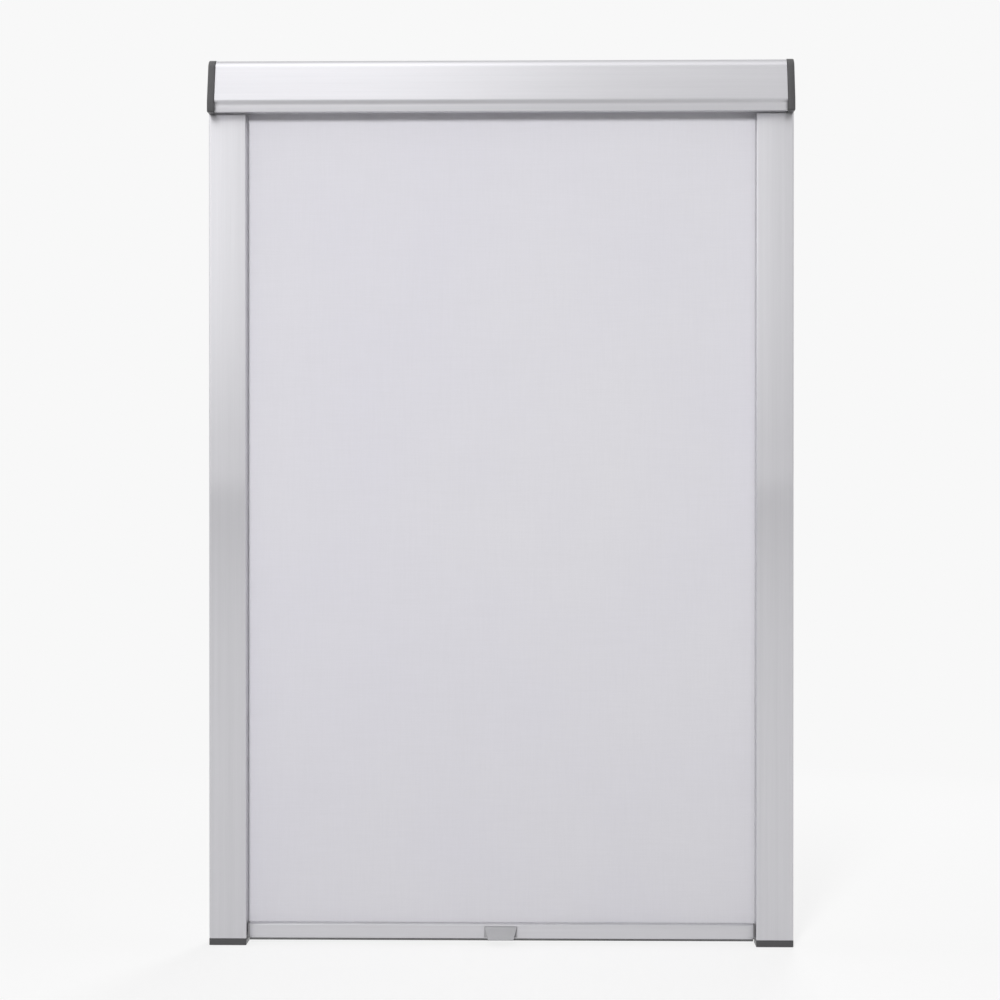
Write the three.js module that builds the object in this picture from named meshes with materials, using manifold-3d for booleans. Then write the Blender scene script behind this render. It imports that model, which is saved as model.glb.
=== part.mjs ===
// Blackout roller blind for a roof window: a sprung roller in a cassette head, two side rails that the
// cloth's edges run in, and a bottom bar that slides in the rails and stays where it is left.
// Sizes are millimetres. X runs along the head, the front faces -Y and Z is up. The origin is the middle
// of the head's flat back face. The blind is drawn closed, with its bar at the foot of the rails.
// A side's pieces are drawn for the left, from its outer face inwards, and mirrored for the right.

import * as THREE from 'three';
import { mergeVertices } from 'three/addons/utils/BufferGeometryUtils.js';
import Module from 'manifold-3d';

const wasm = await Module();
wasm.setup();

// Whole blind
const blindWidth = 613;
const blindHeight = 930;
const fit = 0.3;
const overrun = 1;

// Head profile, an aluminium extrusion that is open below, between its back wall and its front lip
const headHeight = 56;
const headTopDepth = 30;
const headFaceDepth = 42;
const headFaceFoot = 12;
const coveDepth = 2.6;
const coveRise = 7.7;
const headLipDepth = 42.4;
const headReturn = 13;
const headWall = 1.3;
const headTopRadius = 11;
const headEdgeRadius = 1.6;
const coveEdgeRadius = 4;
const coveRadius = 5;
const headLipRadius = 0.9;

// Screws and the open ports in the extrusions that they cut into
const screwRadius = 1.5;
const screwHeadRadius = 2.8;
const screwHeadHeight = 1.9;
const screwLength = 16;
const screwCrossWidth = 0.9;
const screwCrossLength = 3.6;
const screwCrossDepth = 1.1;
const panHeadEdge = 0.7;
const portWall = 1.3;
const portSlot = 1.8;
const portSink = 0.5;
const upperPortSetback = 7;
const lowerPortSetback = 8;

// End caps, moulded, with a spigot in the head and a tongue in the rail
const capThickness = 7.3;
const capLip = 0.6;
const capFootRadius = 2.5;
const spigotLength = 10;
const spigotWall = 1.7;
const spigotStop = 5;
const bossRadius = 6.4;
const bossLength = 8;
const bossFloor = 1.6;
const ribThickness = 1.5;
const ribLength = 6;
const shelfThickness = 3;
const tongueLength = 24;
const tongueWall = 2;
const sashHoleRadius = 1.9;
const sashHoleSpacing = 30;
const sashHoleSetback = 8.5;

// Side rails, three-chambered aluminium extrusions with a slot that faces the window
const railWidth = 39;
const railDepth = 28;
const railWall = 1.4;
const railEdgeRadius = 2;
const railInnerRadius = 1;
const chamberRadius = 0.8;
const trackWidth = 12;
const slotWidth = 5;

// Rail feet
const footHeight = 7;
const footPlugHeight = 13;
const footPlugWall = 1.8;
const footRecessDepth = 3.5;

// Cloth
const clothPlane = 8;
const clothThickness = 0.4;
const clothInRail = 9;

// Roller tube and what is wound on it
const tubeRadius = 9.5;
const tubeWall = 0.9;
const channelBore = 1.2;
const channelWall = 0.7;
const channelMouth = 0.9;
const wrapTurns = 2.25;
const wrapPitch = 0.75;
const rollerEndPlay = 2;
const plugFlange = 1.5;
const plugLength = 24;
const plugWeb = 3;
const plugSleeveWall = 1.6;

// Spring motor and idler pin
const shaftRadius = 2.7;
const shaftFlatWidth = 3.6;
const pinRadius = 2;
const pinChamfer = 0.6;
const springRadius = 4.4;
const springWire = 0.55;
const springCurls = 28;
const springPitch = 5;
const springBend = 1.4;
const anchorRadius = 5.3;
const anchorLength = 12;
const anchorChamfer = 1.6;

// Bottom bar
const barHeight = 15.5;
const barFront = 11;
const barBack = 4;
const barWall = 1.3;
const barFrontRadius = 1.2;
const barBackRadius = 0.8;
const barEndGap = 2.2;
const barDrop = 0.8;
const splineRadius = 2;
const splineRingWall = 1.1;
const barMouth = 1.4;
const headClearance = 5;

// Rubber seal under the bar
const sealFootWidth = 11.4;
const sealHeight = 2;
const sealRadius = 0.9;
const sealNeck = 1.8;
const sealRoot = 5;
const sealRootThickness = 1.2;

// Pull handle
const handleTopWidth = 33.7;
const handleFootWidth = 26.5;
const handleTopMargin = 2.7;
const handleDrop = 0.8;
const handleProud = 7.5;
const handleStart = 0.6;
const handleWall = 1.8;
const handleWeb = 2.4;
const handleFlange = 1.4;
const handleFlangeEdge = 2;
const gripLevelShares = [0, 0.2, 0.4, 0.6, 0.8, 1];

// Gliders and the sprung brake pads that hold the bar where it is left
const gliderPlate = 1.3;
const gliderPlugLength = 14;
const shoeHeight = 16;
const shoeRadius = 1.2;
const padThickness = 1.6;
const padMargin = 2.6;
const brakeGap = 1.6;
const brakeStrip = 0.4;
const brakeWidth = 7;

// How finely round stretches are divided
const cornerStep = Math.PI / 14;
const fineSides = 32;
const roughSides = 20;
const bevelSteps = 3;
const curlSteps = 8;
const bendSteps = 3;
const springSides = 5;
const bowSteps = 8;
const mergeDistance = 0.00001;

// The rounding of a moulded edge, as a share of the smallest corner radius in its outline
const bevelShare = 0.6;

// Places that follow from the sizes above
const sideFace = blindWidth / 2;
const headTop = headHeight / 2;
const headFoot = -headHeight / 2;
const portBore = screwRadius + fit;
const portRadius = portBore + portWall;
const railTop = headFoot - fit;
const footBottom = headTop + capLip - blindHeight;
const footTop = footBottom + footHeight;
const railFoot = footTop + fit;
const railMouthFront = clothPlane + slotWidth / 2;
const railMouthBack = clothPlane - slotWidth / 2;
const trackInner = railWidth - railWall;
const trackOuter = trackInner - trackWidth;
const trackHalf = clothPlane - railWall;
const webOuter = trackOuter - railWall;
const railPort = [webOuter + portSink - portRadius, railWall - portSink + portRadius - railDepth];
const clothHalf = sideFace - railWidth + clothInRail;
const wrapInner = tubeRadius + fit;
const wrapOuter = wrapInner + wrapTurns * wrapPitch + clothThickness;
const rollerY = -(clothPlane + clothThickness / 2 + fit + wrapOuter);
const tubeEnd = sideFace - capThickness - bossLength - rollerEndPlay - plugFlange - fit;
const barBottom = footTop - barDrop;
const barEnd = railWidth + barEndGap;
const splineBore = splineRadius + fit;
const splineHeight = barHeight - barWall - splineBore;
const sealCentre = sealFootWidth / 2 - barFront + barWall + fit;
const barTravel = railTop - barBottom - barHeight - headClearance;

// Materials
function finish(color, roughness, metalness) {
  return new THREE.MeshStandardMaterial({ color, roughness, metalness });
}
const anodised = finish(0xd6d6da, 0.38, 1);
const darkPlastic = finish(0x58585a, 0.55, 0);
const greyPlastic = finish(0xadacb1, 0.5, 0);
const whitePlastic = finish(0xe4e4e0, 0.45, 0);
const zincSteel = finish(0xb8bcc0, 0.4, 1);
const springSteel = finish(0x8d9094, 0.35, 1);
const rubber = finish(0x3c3c3e, 0.85, 0);
const felt = finish(0x4a4a4c, 0.95, 0);
const cloth = finish(0xd8d7de, 0.9, 0);

// Outlines

// An outline through corners of [across, up, radius], its corners turned into arcs.
function roundCorners(corners, closed = true) {
  const spots = corners.map(([across, up]) => new THREE.Vector2(across, up));
  const last = spots.length - 1;
  return spots.flatMap((spot, index) => {
    const radius = corners[index][2] || 0;
    if (!radius || (!closed && (index === 0 || index === last))) {
      return [spot];
    }
    const before = spots[index === 0 ? last : index - 1];
    const after = spots[index === last ? 0 : index + 1];
    const into = spot.clone().sub(before);
    const out = after.clone().sub(spot);
    const room = Math.min(into.length(), out.length()) / 2;
    into.normalize();
    out.normalize();
    const turn = Math.acos(THREE.MathUtils.clamp(into.dot(out), -1, 1));
    const side = Math.sign(into.cross(out));
    const reach = Math.min(radius * Math.tan(turn / 2), room);
    const start = spot.clone().addScaledVector(into, -reach);
    const arcRadius = reach / Math.tan(turn / 2);
    const centre = start.clone().add(new THREE.Vector2(-into.y, into.x).multiplyScalar(side * arcRadius));
    const steps = Math.max(2, Math.ceil(turn / cornerStep));
    return Array.from({ length: steps + 1 }, (_, step) =>
      start.clone().rotateAround(centre, (side * turn * step) / steps));
  });
}

const leftOf = (from, to) => new THREE.Vector2(from.y - to.y, to.x - from.x).normalize();

// The same outline moved to its left by a distance, sharp corners and arcs alike.
function offsetOutline(points, distance, closed) {
  const last = points.length - 1;
  return points.map((point, index) => {
    const before = index > 0 ? points[index - 1] : closed ? points[last] : null;
    const after = index < last ? points[index + 1] : closed ? points[0] : null;
    const first = before ? leftOf(before, point) : leftOf(point, after);
    const second = after ? leftOf(point, after) : leftOf(before, point);
    const mitre = first.clone().add(second).divideScalar(1 + first.dot(second));
    return point.clone().addScaledVector(mitre, distance);
  });
}

// Corners of an open path moved to its left: a corner that turns left loses radius, the others gain it.
function insetCorners(corners, distance) {
  const spots = corners.map(([across, up]) => new THREE.Vector2(across, up));
  return offsetOutline(spots, distance, false).map((spot, index) => {
    const inner = index > 0 && index < spots.length - 1;
    const turn = inner
      ? leftOf(spots[index - 1], spots[index]).cross(leftOf(spots[index], spots[index + 1])) : 0;
    const radius = (corners[index][2] || 0) - Math.sign(turn) * distance;
    return [spot.x, spot.y, Math.max(0, radius)];
  });
}

// A wall of even thickness on the left of an open path of corners.
function wallOutline(corners, thickness) {
  return [
    ...roundCorners(corners, false),
    ...roundCorners(insetCorners(corners, thickness), false).reverse(),
  ];
}

function rectangle(left, right, low, high, radius = 0) {
  const corners = [[left, low], [right, low], [right, high], [left, high]];
  return roundCorners(corners.map((corner) => [...corner, radius]));
}

function circle(radius, across, up, sides) {
  return Array.from({ length: sides }, (_, side) => {
    const angle = (side / sides) * 2 * Math.PI;
    return new THREE.Vector2(across + radius * Math.cos(angle), up + radius * Math.sin(angle));
  });
}

// Solids

function prism(outline, depth, holes = []) {
  const shape = new THREE.Shape(outline);
  shape.holes = holes.map((hole) => new THREE.Path(hole));
  return new THREE.ExtrudeGeometry(shape, { depth, bevelEnabled: false });
}

// A closed skin over outlines of equal length, each at its own depth.
function skin(outlines, depths) {
  const clockwise = THREE.ShapeUtils.isClockWise(outlines[0]);
  const rings = clockwise ? outlines.map((outline) => [...outline].reverse()) : outlines;
  const count = rings[0].length;
  const lastRing = rings.length - 1;
  const positions = rings.flatMap((ring, level) =>
    ring.flatMap((point) => [point.x, point.y, depths[level]]));
  const index = [];
  for (let level = 0; level < lastRing; level += 1) {
    for (let spot = 0; spot < count; spot += 1) {
      const next = (spot + 1) % count;
      const [a, b] = [level * count + spot, level * count + next];
      index.push(a, b, b + count, a, b + count, a + count);
    }
  }
  for (const [a, b, c] of THREE.ShapeUtils.triangulateShape(rings[0], [])) {
    index.push(a, c, b);
  }
  for (const triangle of THREE.ShapeUtils.triangulateShape(rings[lastRing], [])) {
    index.push(...triangle.map((spot) => spot + lastRing * count));
  }
  const geometry = new THREE.BufferGeometry();
  geometry.setAttribute('position', new THREE.Float32BufferAttribute(positions, 3));
  geometry.setIndex(index);
  return geometry;
}

// A plate whose first face has rounded edges, from the smallest corner radius in its outline.
function bevelledPlate(outline, thickness, cornerRadius) {
  const bevel = bevelShare * cornerRadius;
  const turns = Array.from({ length: bevelSteps + 1 }, (_, step) => (Math.PI * step) / (2 * bevelSteps));
  const inward = THREE.ShapeUtils.isClockWise(outline) ? -1 : 1;
  const insets = turns.map((turn) => bevel * (1 - Math.sin(turn)));
  const rings = insets.map((inset) => offsetOutline(outline, inward * inset, true));
  return skin([...rings, outline], [...turns.map((turn) => bevel * (1 - Math.cos(turn))), thickness]);
}

// Turns a shape drawn in (Y, Z) and raised along its depth so that the depth runs along X.
function alongX(geometry, start = 0) {
  const basis = new THREE.Matrix4().makeBasis(
    new THREE.Vector3(0, 1, 0), new THREE.Vector3(0, 0, 1), new THREE.Vector3(1, 0, 0));
  return geometry.applyMatrix4(basis).translate(start, 0, 0);
}

// Turns a shape drawn in (X, Z) and raised along its depth so that the depth runs along -Y.
function alongFront(geometry, start = 0) {
  return geometry.rotateX(Math.PI / 2).translate(0, start, 0);
}

function block([left, right], [front, back], [low, high]) {
  return new THREE.BoxGeometry(right - left, back - front, high - low)
    .translate((left + right) / 2, (front + back) / 2, (low + high) / 2);
}

function rodX(radius, [from, to], [y, z], sides = roughSides) {
  return alongX(prism(circle(radius, y, z, sides), to - from), from);
}

function rodZ(radius, [from, to], [x, y], sides = roughSides) {
  return prism(circle(radius, x, y, sides), to - from).translate(0, 0, from);
}

// A solid turned about X, from stations of [along, radius] that start and end on the axis.
function turnedX(stations, sides = roughSides) {
  const profile = stations.map(([along, radius]) => new THREE.Vector2(radius, along));
  return new THREE.LatheGeometry(profile, sides).rotateZ(-Math.PI / 2);
}

// Joins and cuts

function toSolid(geometry) {
  const bare = geometry.clone();
  bare.deleteAttribute('normal');
  bare.deleteAttribute('uv');
  const merged = mergeVertices(bare, mergeDistance);
  const corners = merged.index.array;
  const triangles = [];
  for (let spot = 0; spot < corners.length; spot += 3) {
    const [a, b, c] = corners.slice(spot, spot + 3);
    if (a !== b && b !== c && c !== a) {
      triangles.push(a, b, c);
    }
  }
  return new wasm.Manifold(new wasm.Mesh({
    numProp: 3,
    vertProperties: new Float32Array(merged.attributes.position.array),
    triVerts: new Uint32Array(triangles),
  }));
}

function toGeometry(solid) {
  const { vertProperties, triVerts } = solid.getMesh();
  const geometry = new THREE.BufferGeometry();
  geometry.setAttribute('position', new THREE.BufferAttribute(vertProperties, 3));
  geometry.setIndex(new THREE.BufferAttribute(triVerts, 1));
  return geometry;
}

// The first list joined, less everything in the second.
function carve(added, removed = []) {
  const whole = added.map(toSolid).reduce((sum, solid) => sum.add(solid));
  return toGeometry(removed.map(toSolid).reduce((rest, solid) => rest.subtract(solid), whole));
}

function mirrored(geometry) {
  const copy = geometry.clone().scale(-1, 1, 1);
  const corners = Array.from(copy.index.array);
  copy.setIndex(corners.map((_, spot) => corners[spot + [0, 1, -1][spot % 3]]));
  return copy;
}

// Head

// The head's section from the foot of its back wall, over the top and down to its front return.
const headCorners = [
  [0, headFoot],
  [0, headTop, headEdgeRadius],
  [-headTopDepth, headTop, headTopRadius],
  [-headFaceDepth, headFoot + headFaceFoot, coveEdgeRadius],
  [coveDepth - headFaceDepth, headFoot + coveRise, coveRadius],
  [-headLipDepth, headFoot, headLipRadius],
  [headReturn - headLipDepth, headFoot],
];

// A point of the leaning front face at a height.
function faceCorner(height) {
  const share = (headTop - height) / (headHeight - headFaceFoot);
  return [-headTopDepth - (headFaceDepth - headTopDepth) * share, height];
}

// Middles of the two screw ports: one hangs from the top wall, one stands on the front return.
const headPorts = [
  [upperPortSetback - headTopDepth, headTop - headWall + portSink - portRadius],
  [lowerPortSetback - headLipDepth, headFoot + headWall - portSink + portRadius],
];

function headProfile() {
  const end = sideFace - capThickness - fit;
  const span = [-end, end];
  const cut = [-end - overrun, end + overrun];
  const wall = alongX(prism(wallOutline(headCorners, headWall), 2 * end), -end);
  const ports = headPorts.map((middle) => rodX(portRadius, span, middle));
  const bores = headPorts.map((middle) => rodX(portBore, cut, middle));
  const mouths = headPorts.map(([y, z]) => {
    const inner = z - Math.sign(z) * (portRadius + overrun);
    return block(cut, [y - portSlot / 2, y + portSlot / 2], [Math.min(z, inner), Math.max(z, inner)]);
  });
  return carve([wall, ...ports], [...bores, ...mouths]);
}

// End caps

function capOutline() {
  return roundCorners([
    [0, headFoot - capLip],
    [0, headTop + capLip, headEdgeRadius + capLip],
    [-headTopDepth - capLip, headTop + capLip, headTopRadius + capLip],
    [-headFaceDepth - capLip, headFoot + headFaceFoot, coveEdgeRadius + capLip],
    [-headLipDepth - capLip, headFoot - capLip, capFootRadius],
  ]);
}

// The shelf over the rail's outer chamber and the hollow tongue that hangs from it into the rail.
function railTongue() {
  const across = [railWall + fit, webOuter - fit];
  const deep = [railWall + fit - railDepth, -railWall - fit];
  const inside = [across, deep].map(([low, high]) => [low + tongueWall, high - tongueWall]);
  const shelf = block([overrun, across[1]], deep, [headFoot, headFoot + shelfThickness]);
  const tongue = block(across, deep, [headFoot - tongueLength, headFoot + overrun]);
  const hollow = block(...inside, [headFoot - tongueLength - overrun, headFoot - tongueWall]);
  return { added: [shelf, tongue], removed: [hollow] };
}

function screwRecess([y, z]) {
  return turnedX([
    [-overrun, 0],
    [-overrun, screwHeadRadius + fit],
    [fit, screwHeadRadius + fit],
    [fit + screwHeadHeight, portBore],
    [capThickness + overrun, portBore],
    [capThickness + overrun, 0],
  ]).translate(0, y, z);
}

function sashHoles() {
  return [-1, 1].map((side) => rodX(sashHoleRadius, [-overrun, capThickness + spigotLength + overrun],
    [-sashHoleSetback, (side * sashHoleSpacing) / 2]));
}

// Ribs that fan out from the bearing boss to the spigot.
function capRibs() {
  const reachBack = -rollerY - headWall - fit;
  const reachUp = headTop - headWall - fit;
  const span = [capThickness - overrun, capThickness + ribLength];
  const half = ribThickness / 2;
  return [
    block(span, [rollerY, rollerY + reachBack], [-half, half]),
    block(span, [rollerY - half, rollerY + half], [0, reachUp]),
    block(span, [-headTopDepth, rollerY], [-half, half]),
  ];
}

function endCap(socket) {
  const plate = alongX(bevelledPlate(capOutline(), capThickness, headEdgeRadius + capLip));
  const spigotCorners = insetCorners(
    [...headCorners.slice(0, 3), faceCorner(headFoot + headFaceFoot + spigotStop)], headWall + fit);
  const spigot = alongX(prism(wallOutline(spigotCorners, spigotWall), spigotLength + overrun),
    capThickness - overrun);
  const boss = rodX(bossRadius, [capThickness - overrun, capThickness + bossLength], [rollerY, 0], fineSides);
  const rebate = block([-overrun, capThickness + overrun], [-railDepth - fit, overrun],
    [headFoot - capLip - overrun, headFoot]);
  const portRoom = headPorts.map((middle) => rodX(portRadius + fit,
    [capThickness, capThickness + spigotLength + overrun], middle));
  const tongue = railTongue();
  const railPortRoom = rodZ(portRadius + fit, [headFoot - tongueLength - overrun, headFoot], railPort);
  const body = carve([plate, spigot, boss, ...capRibs()], [rebate, ...portRoom]);
  return carve([body, ...tongue.added], [
    ...tongue.removed, railPortRoom, ...headPorts.map(screwRecess), ...sashHoles(), socket,
  ]);
}

// The idler pin turns in the left cap's round socket.
function roundSocket() {
  return rodX(pinRadius + fit, [bossFloor, capThickness + bossLength + overrun], [rollerY, 0]);
}

// The motor's shaft is held from turning by flats in the right cap's socket.
function flatSocket() {
  const half = shaftFlatWidth / 2 + fit;
  const round = rodX(shaftRadius + fit, [bossFloor, capThickness + bossLength + overrun], [rollerY, 0]);
  const flats = block([0, capThickness + bossLength + 2 * overrun],
    [rollerY - half, rollerY + half], [-shaftRadius - overrun, shaftRadius + overrun]);
  return toGeometry(toSolid(round).intersect(toSolid(flats)));
}

// The cross sunk in a screw's head, from the face of the head at zero.
function screwCross() {
  const long = screwCrossLength / 2;
  const thin = screwCrossWidth / 2;
  const sunk = [-overrun, screwCrossDepth];
  return [block(sunk, [-long, long], [-thin, thin]), block(sunk, [-thin, thin], [-long, long])];
}

// A countersunk screw along X, its head's face at zero.
function capScrew() {
  const body = turnedX([
    [0, 0],
    [0, screwHeadRadius],
    [screwHeadHeight, screwRadius],
    [screwLength - screwRadius, screwRadius],
    [screwLength, 0],
  ]);
  return carve([body], screwCross());
}

// Rails

function railOutline() {
  return roundCorners([
    [0, 0, railInnerRadius],
    [0, -railDepth, railEdgeRadius],
    [railWidth, -railDepth, railInnerRadius],
    [railWidth, -railMouthFront],
    [trackInner, -railMouthFront],
    [trackInner, -clothPlane - trackHalf],
    [trackOuter, -clothPlane - trackHalf],
    [trackOuter, trackHalf - clothPlane],
    [trackInner, trackHalf - clothPlane],
    [trackInner, -railMouthBack],
    [railWidth, -railMouthBack],
    [railWidth, 0, railInnerRadius],
  ]);
}

const outerChamber = [[railWall, webOuter], [railWall - railDepth, -railWall]];
const frontChamber = [[trackOuter, trackInner], [railWall - railDepth, -clothPlane - trackHalf - railWall]];

function sideRail() {
  const length = railTop - railFoot;
  const chambers = [outerChamber, frontChamber].map(([across, deep]) =>
    rectangle(...across, ...deep, chamberRadius));
  const shell = prism(railOutline(), length, chambers).translate(0, 0, railFoot);
  const port = rodZ(portRadius, [railFoot, railTop], railPort);
  const bore = rodZ(portBore, [railFoot - overrun, railTop + overrun], railPort);
  const [x, y] = railPort;
  const mouth = block([x - portRadius - overrun, x], [y - portSlot / 2, y + portSlot / 2],
    [railFoot - overrun, railTop + overrun]);
  return carve([shell, port], [bore, mouth]);
}

// A hollow plug that stands on the foot and fills one chamber of the rail.
function footPlug([across, deep]) {
  const outer = [across, deep].map(([low, high]) => [low + fit, high - fit]);
  const inner = outer.map(([low, high]) => [low + footPlugWall, high - footPlugWall]);
  return {
    added: block(...outer, [footTop - overrun, footTop + footPlugHeight]),
    removed: block(...inner, [footTop, footTop + footPlugHeight + overrun]),
  };
}

function railFootCap() {
  const outline = rectangle(0, railWidth, -railDepth, 0, railInnerRadius);
  const base = bevelledPlate(outline, footHeight, railInnerRadius).translate(0, 0, footBottom);
  const plugs = [outerChamber, frontChamber].map(footPlug);
  const portRoom = rodZ(portRadius + fit, [footTop, footTop + footPlugHeight + overrun], railPort);
  const screwHole = rodZ(portBore, [footBottom - overrun, footTop + overrun], railPort);
  const recess = rodZ(screwHeadRadius + fit, [footBottom - overrun, footBottom + footRecessDepth], railPort);
  return carve([base, ...plugs.map((plug) => plug.added)],
    [...plugs.map((plug) => plug.removed), portRoom, screwHole, recess]);
}

// A pan head screw along Z that stands in the foot's recess.
function footScrew() {
  const start = footBottom + footRecessDepth - fit - screwHeadHeight;
  const body = turnedX([
    [0, 0],
    [0, screwHeadRadius - panHeadEdge],
    [panHeadEdge, screwHeadRadius],
    [screwHeadHeight, screwHeadRadius],
    [screwHeadHeight, screwRadius],
    [screwLength - screwRadius, screwRadius],
    [screwLength, 0],
  ]);
  return carve([body], screwCross()).rotateY(-Math.PI / 2).translate(...railPort, start);
}

// Roller, drawn about its own axis

function rollerTube() {
  const span = [-tubeEnd, tubeEnd];
  const cut = [-tubeEnd - overrun, tubeEnd + overrun];
  const channelRadius = channelBore + channelWall;
  const middle = [0, tubeRadius - tubeWall - channelBore];
  const ring = alongX(prism(circle(tubeRadius, 0, 0, fineSides), 2 * tubeEnd,
    [circle(tubeRadius - tubeWall, 0, 0, fineSides)]), -tubeEnd);
  const channel = rodX(channelRadius, span, middle, roughSides);
  const bore = rodX(channelBore, cut, middle, roughSides);
  const mouth = block(cut, [-channelMouth / 2, channelMouth / 2], [middle[1], tubeRadius + overrun]);
  return carve([ring, channel], [bore, mouth]);
}

function rollerSpline() {
  return rodX(channelBore - fit, [-clothHalf, clothHalf], [0, tubeRadius - tubeWall - channelBore]);
}

// Cloth left on the tube when the blind is closed, wound from the channel to where it leaves downwards.
function rolledCloth() {
  const steps = Math.ceil(wrapTurns * fineSides);
  const spot = (step, grow) => {
    const angle = 2 * Math.PI * wrapTurns * (1 - step / steps);
    const radius = wrapInner + (wrapPitch * wrapTurns * step) / steps + grow;
    return new THREE.Vector2(radius * Math.cos(angle), radius * Math.sin(angle));
  };
  const inner = Array.from({ length: steps + 1 }, (_, step) => spot(step, 0));
  const outer = Array.from({ length: steps + 1 }, (_, step) => spot(step, clothThickness));
  return alongX(prism([...inner, ...outer.reverse()], 2 * clothHalf), -clothHalf);
}

// An end plug drawn for the left: a flange outside the tube, a notch for the channel and a long sleeve.
function rollerPlug(boreRadius) {
  const outer = tubeRadius - tubeWall - fit;
  const start = -tubeEnd - fit;
  const end = start + plugLength;
  const flange = rodX(tubeRadius, [start - plugFlange, start], [0, 0], fineSides);
  const barrel = rodX(outer, [start - overrun, end], [0, 0], fineSides);
  const hollow = rodX(outer - plugSleeveWall, [start + plugWeb, end + overrun], [0, 0], fineSides);
  const sleeve = rodX(boreRadius + plugSleeveWall, [start, end], [0, 0]);
  const middle = [0, tubeRadius - tubeWall - channelBore];
  const notch = rodX(channelBore + channelWall + fit, [start, end + overrun], middle, roughSides);
  const bore = rodX(boreRadius, [start - plugFlange - overrun, end + overrun], [0, 0]);
  return carve([carve([flange, barrel], [hollow]), sleeve], [notch, bore]);
}

function idlerPin() {
  const start = bossFloor + fit - sideFace;
  const end = plugLength - tubeEnd - fit;
  return turnedX([
    [start, 0],
    [start, pinRadius - pinChamfer],
    [start + pinChamfer, pinRadius],
    [end, pinRadius],
    [end, 0],
  ]);
}

// Spring motor: the fixed shaft, the hub on its inner end and the coil between hub and drive plug

const springEnd = tubeEnd + fit - plugLength - fit;
const springStart = springEnd - springCurls * springPitch - 2 * (springBend + 2 * springWire);

function springShaft() {
  const outerEnd = sideFace - bossFloor - fit;
  const round = rodX(shaftRadius, [springStart - anchorLength, outerEnd], [0, 0]);
  const half = shaftFlatWidth / 2;
  const flatStart = sideFace - capThickness - bossLength;
  const cheek = (side) => block([flatStart, outerEnd + overrun],
    side > 0 ? [half, shaftRadius + overrun] : [-shaftRadius - overrun, -half],
    [-shaftRadius - overrun, shaftRadius + overrun]);
  return carve([round], [cheek(-1), cheek(1)]);
}

function springAnchor() {
  const start = springStart - anchorLength;
  const hub = turnedX([
    [start, 0],
    [start, anchorRadius - anchorChamfer],
    [start + anchorChamfer, anchorRadius],
    [springStart - fit, anchorRadius],
    [springStart - fit, 0],
  ], fineSides);
  return carve([hub], [rodX(shaftRadius + fit, [start - overrun, springStart + overrun], [0, 0])]);
}

// The coil's middle line: a straight end, a bend into the helix, the curls, and the same again.
function springPoints() {
  const coilStart = springStart + springBend + 2 * springWire;
  const coilLength = springCurls * springPitch;
  const onCoil = (x, angle) =>
    new THREE.Vector3(x, springRadius * Math.cos(angle), springRadius * Math.sin(angle));
  const bendIn = Array.from({ length: bendSteps }, (_, step) => {
    const turn = ((step / bendSteps) * Math.PI) / 2;
    return onCoil(coilStart - springBend * (1 - Math.sin(turn)),
      (-springBend * Math.cos(turn)) / springRadius);
  });
  const curls = Array.from({ length: springCurls * curlSteps + 1 }, (_, step) =>
    onCoil(coilStart + (coilLength * step) / (springCurls * curlSteps),
      (2 * Math.PI * step) / curlSteps));
  const bendOut = bendIn.map((point) => onCoil(
    2 * coilStart + coilLength - point.x, -Math.atan2(point.z, point.y))).reverse();
  const first = bendIn[0].clone().setX(springStart);
  const last = bendOut[bendSteps - 1].clone().setX(springEnd);
  return [first, ...bendIn, ...curls, ...bendOut, last];
}

// A tube of few sides along points, its section carried along without twist.
function tubeAlong(points, radius, sides) {
  const positions = [];
  const index = [];
  const ends = points.length - 1;
  let across = null;
  points.forEach((point, spot) => {
    const ahead = points[Math.min(spot + 1, ends)].clone().sub(points[Math.max(spot - 1, 0)]).normalize();
    across = across ? across.addScaledVector(ahead, -across.dot(ahead)).normalize()
      : new THREE.Vector3(0, point.y, point.z).cross(ahead).normalize();
    const up = ahead.clone().cross(across);
    for (let side = 0; side < sides; side += 1) {
      const angle = (2 * Math.PI * side) / sides;
      const corner = point.clone()
        .addScaledVector(across, radius * Math.cos(angle))
        .addScaledVector(up, radius * Math.sin(angle));
      positions.push(corner.x, corner.y, corner.z);
    }
  });
  for (let spot = 0; spot < ends; spot += 1) {
    for (let side = 0; side < sides; side += 1) {
      const [a, b] = [spot * sides + side, spot * sides + ((side + 1) % sides)];
      index.push(a, b, b + sides, a, b + sides, a + sides);
    }
  }
  for (let side = 1; side < sides - 1; side += 1) {
    index.push(0, side + 1, side);
    index.push(ends * sides, ends * sides + side, ends * sides + side + 1);
  }
  const geometry = new THREE.BufferGeometry();
  geometry.setAttribute('position', new THREE.Float32BufferAttribute(positions, 3));
  geometry.setIndex(index);
  return geometry;
}

function torsionSpring() {
  const points = springPoints();
  let least = Infinity;
  points.forEach((point, spot) => {
    for (const other of points.slice(spot + curlSteps / 2)) {
      least = Math.min(least, point.distanceTo(other) - 2 * springWire);
    }
  });
  console.log(`torsion spring: ${springCurls} curls, least gap to itself ${least.toFixed(2)} mm`);
  return tubeAlong(points, springWire, springSides);
}

// Cloth between the roll and the bar

function blackoutCloth() {
  const low = barBottom + splineHeight + splineRadius + fit;
  const half = clothThickness / 2;
  return block([-clothHalf, clothHalf], [-clothPlane - half, half - clothPlane], [low, 0]);
}

// Bottom bar, drawn with its foot at zero and the cloth's plane at zero

function barOutline() {
  return roundCorners([
    [-barFront, 0, barFrontRadius],
    [barBack, 0, barBackRadius],
    [barBack, barHeight, barBackRadius],
    [-barFront, barHeight, barFrontRadius],
  ]);
}

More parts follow.
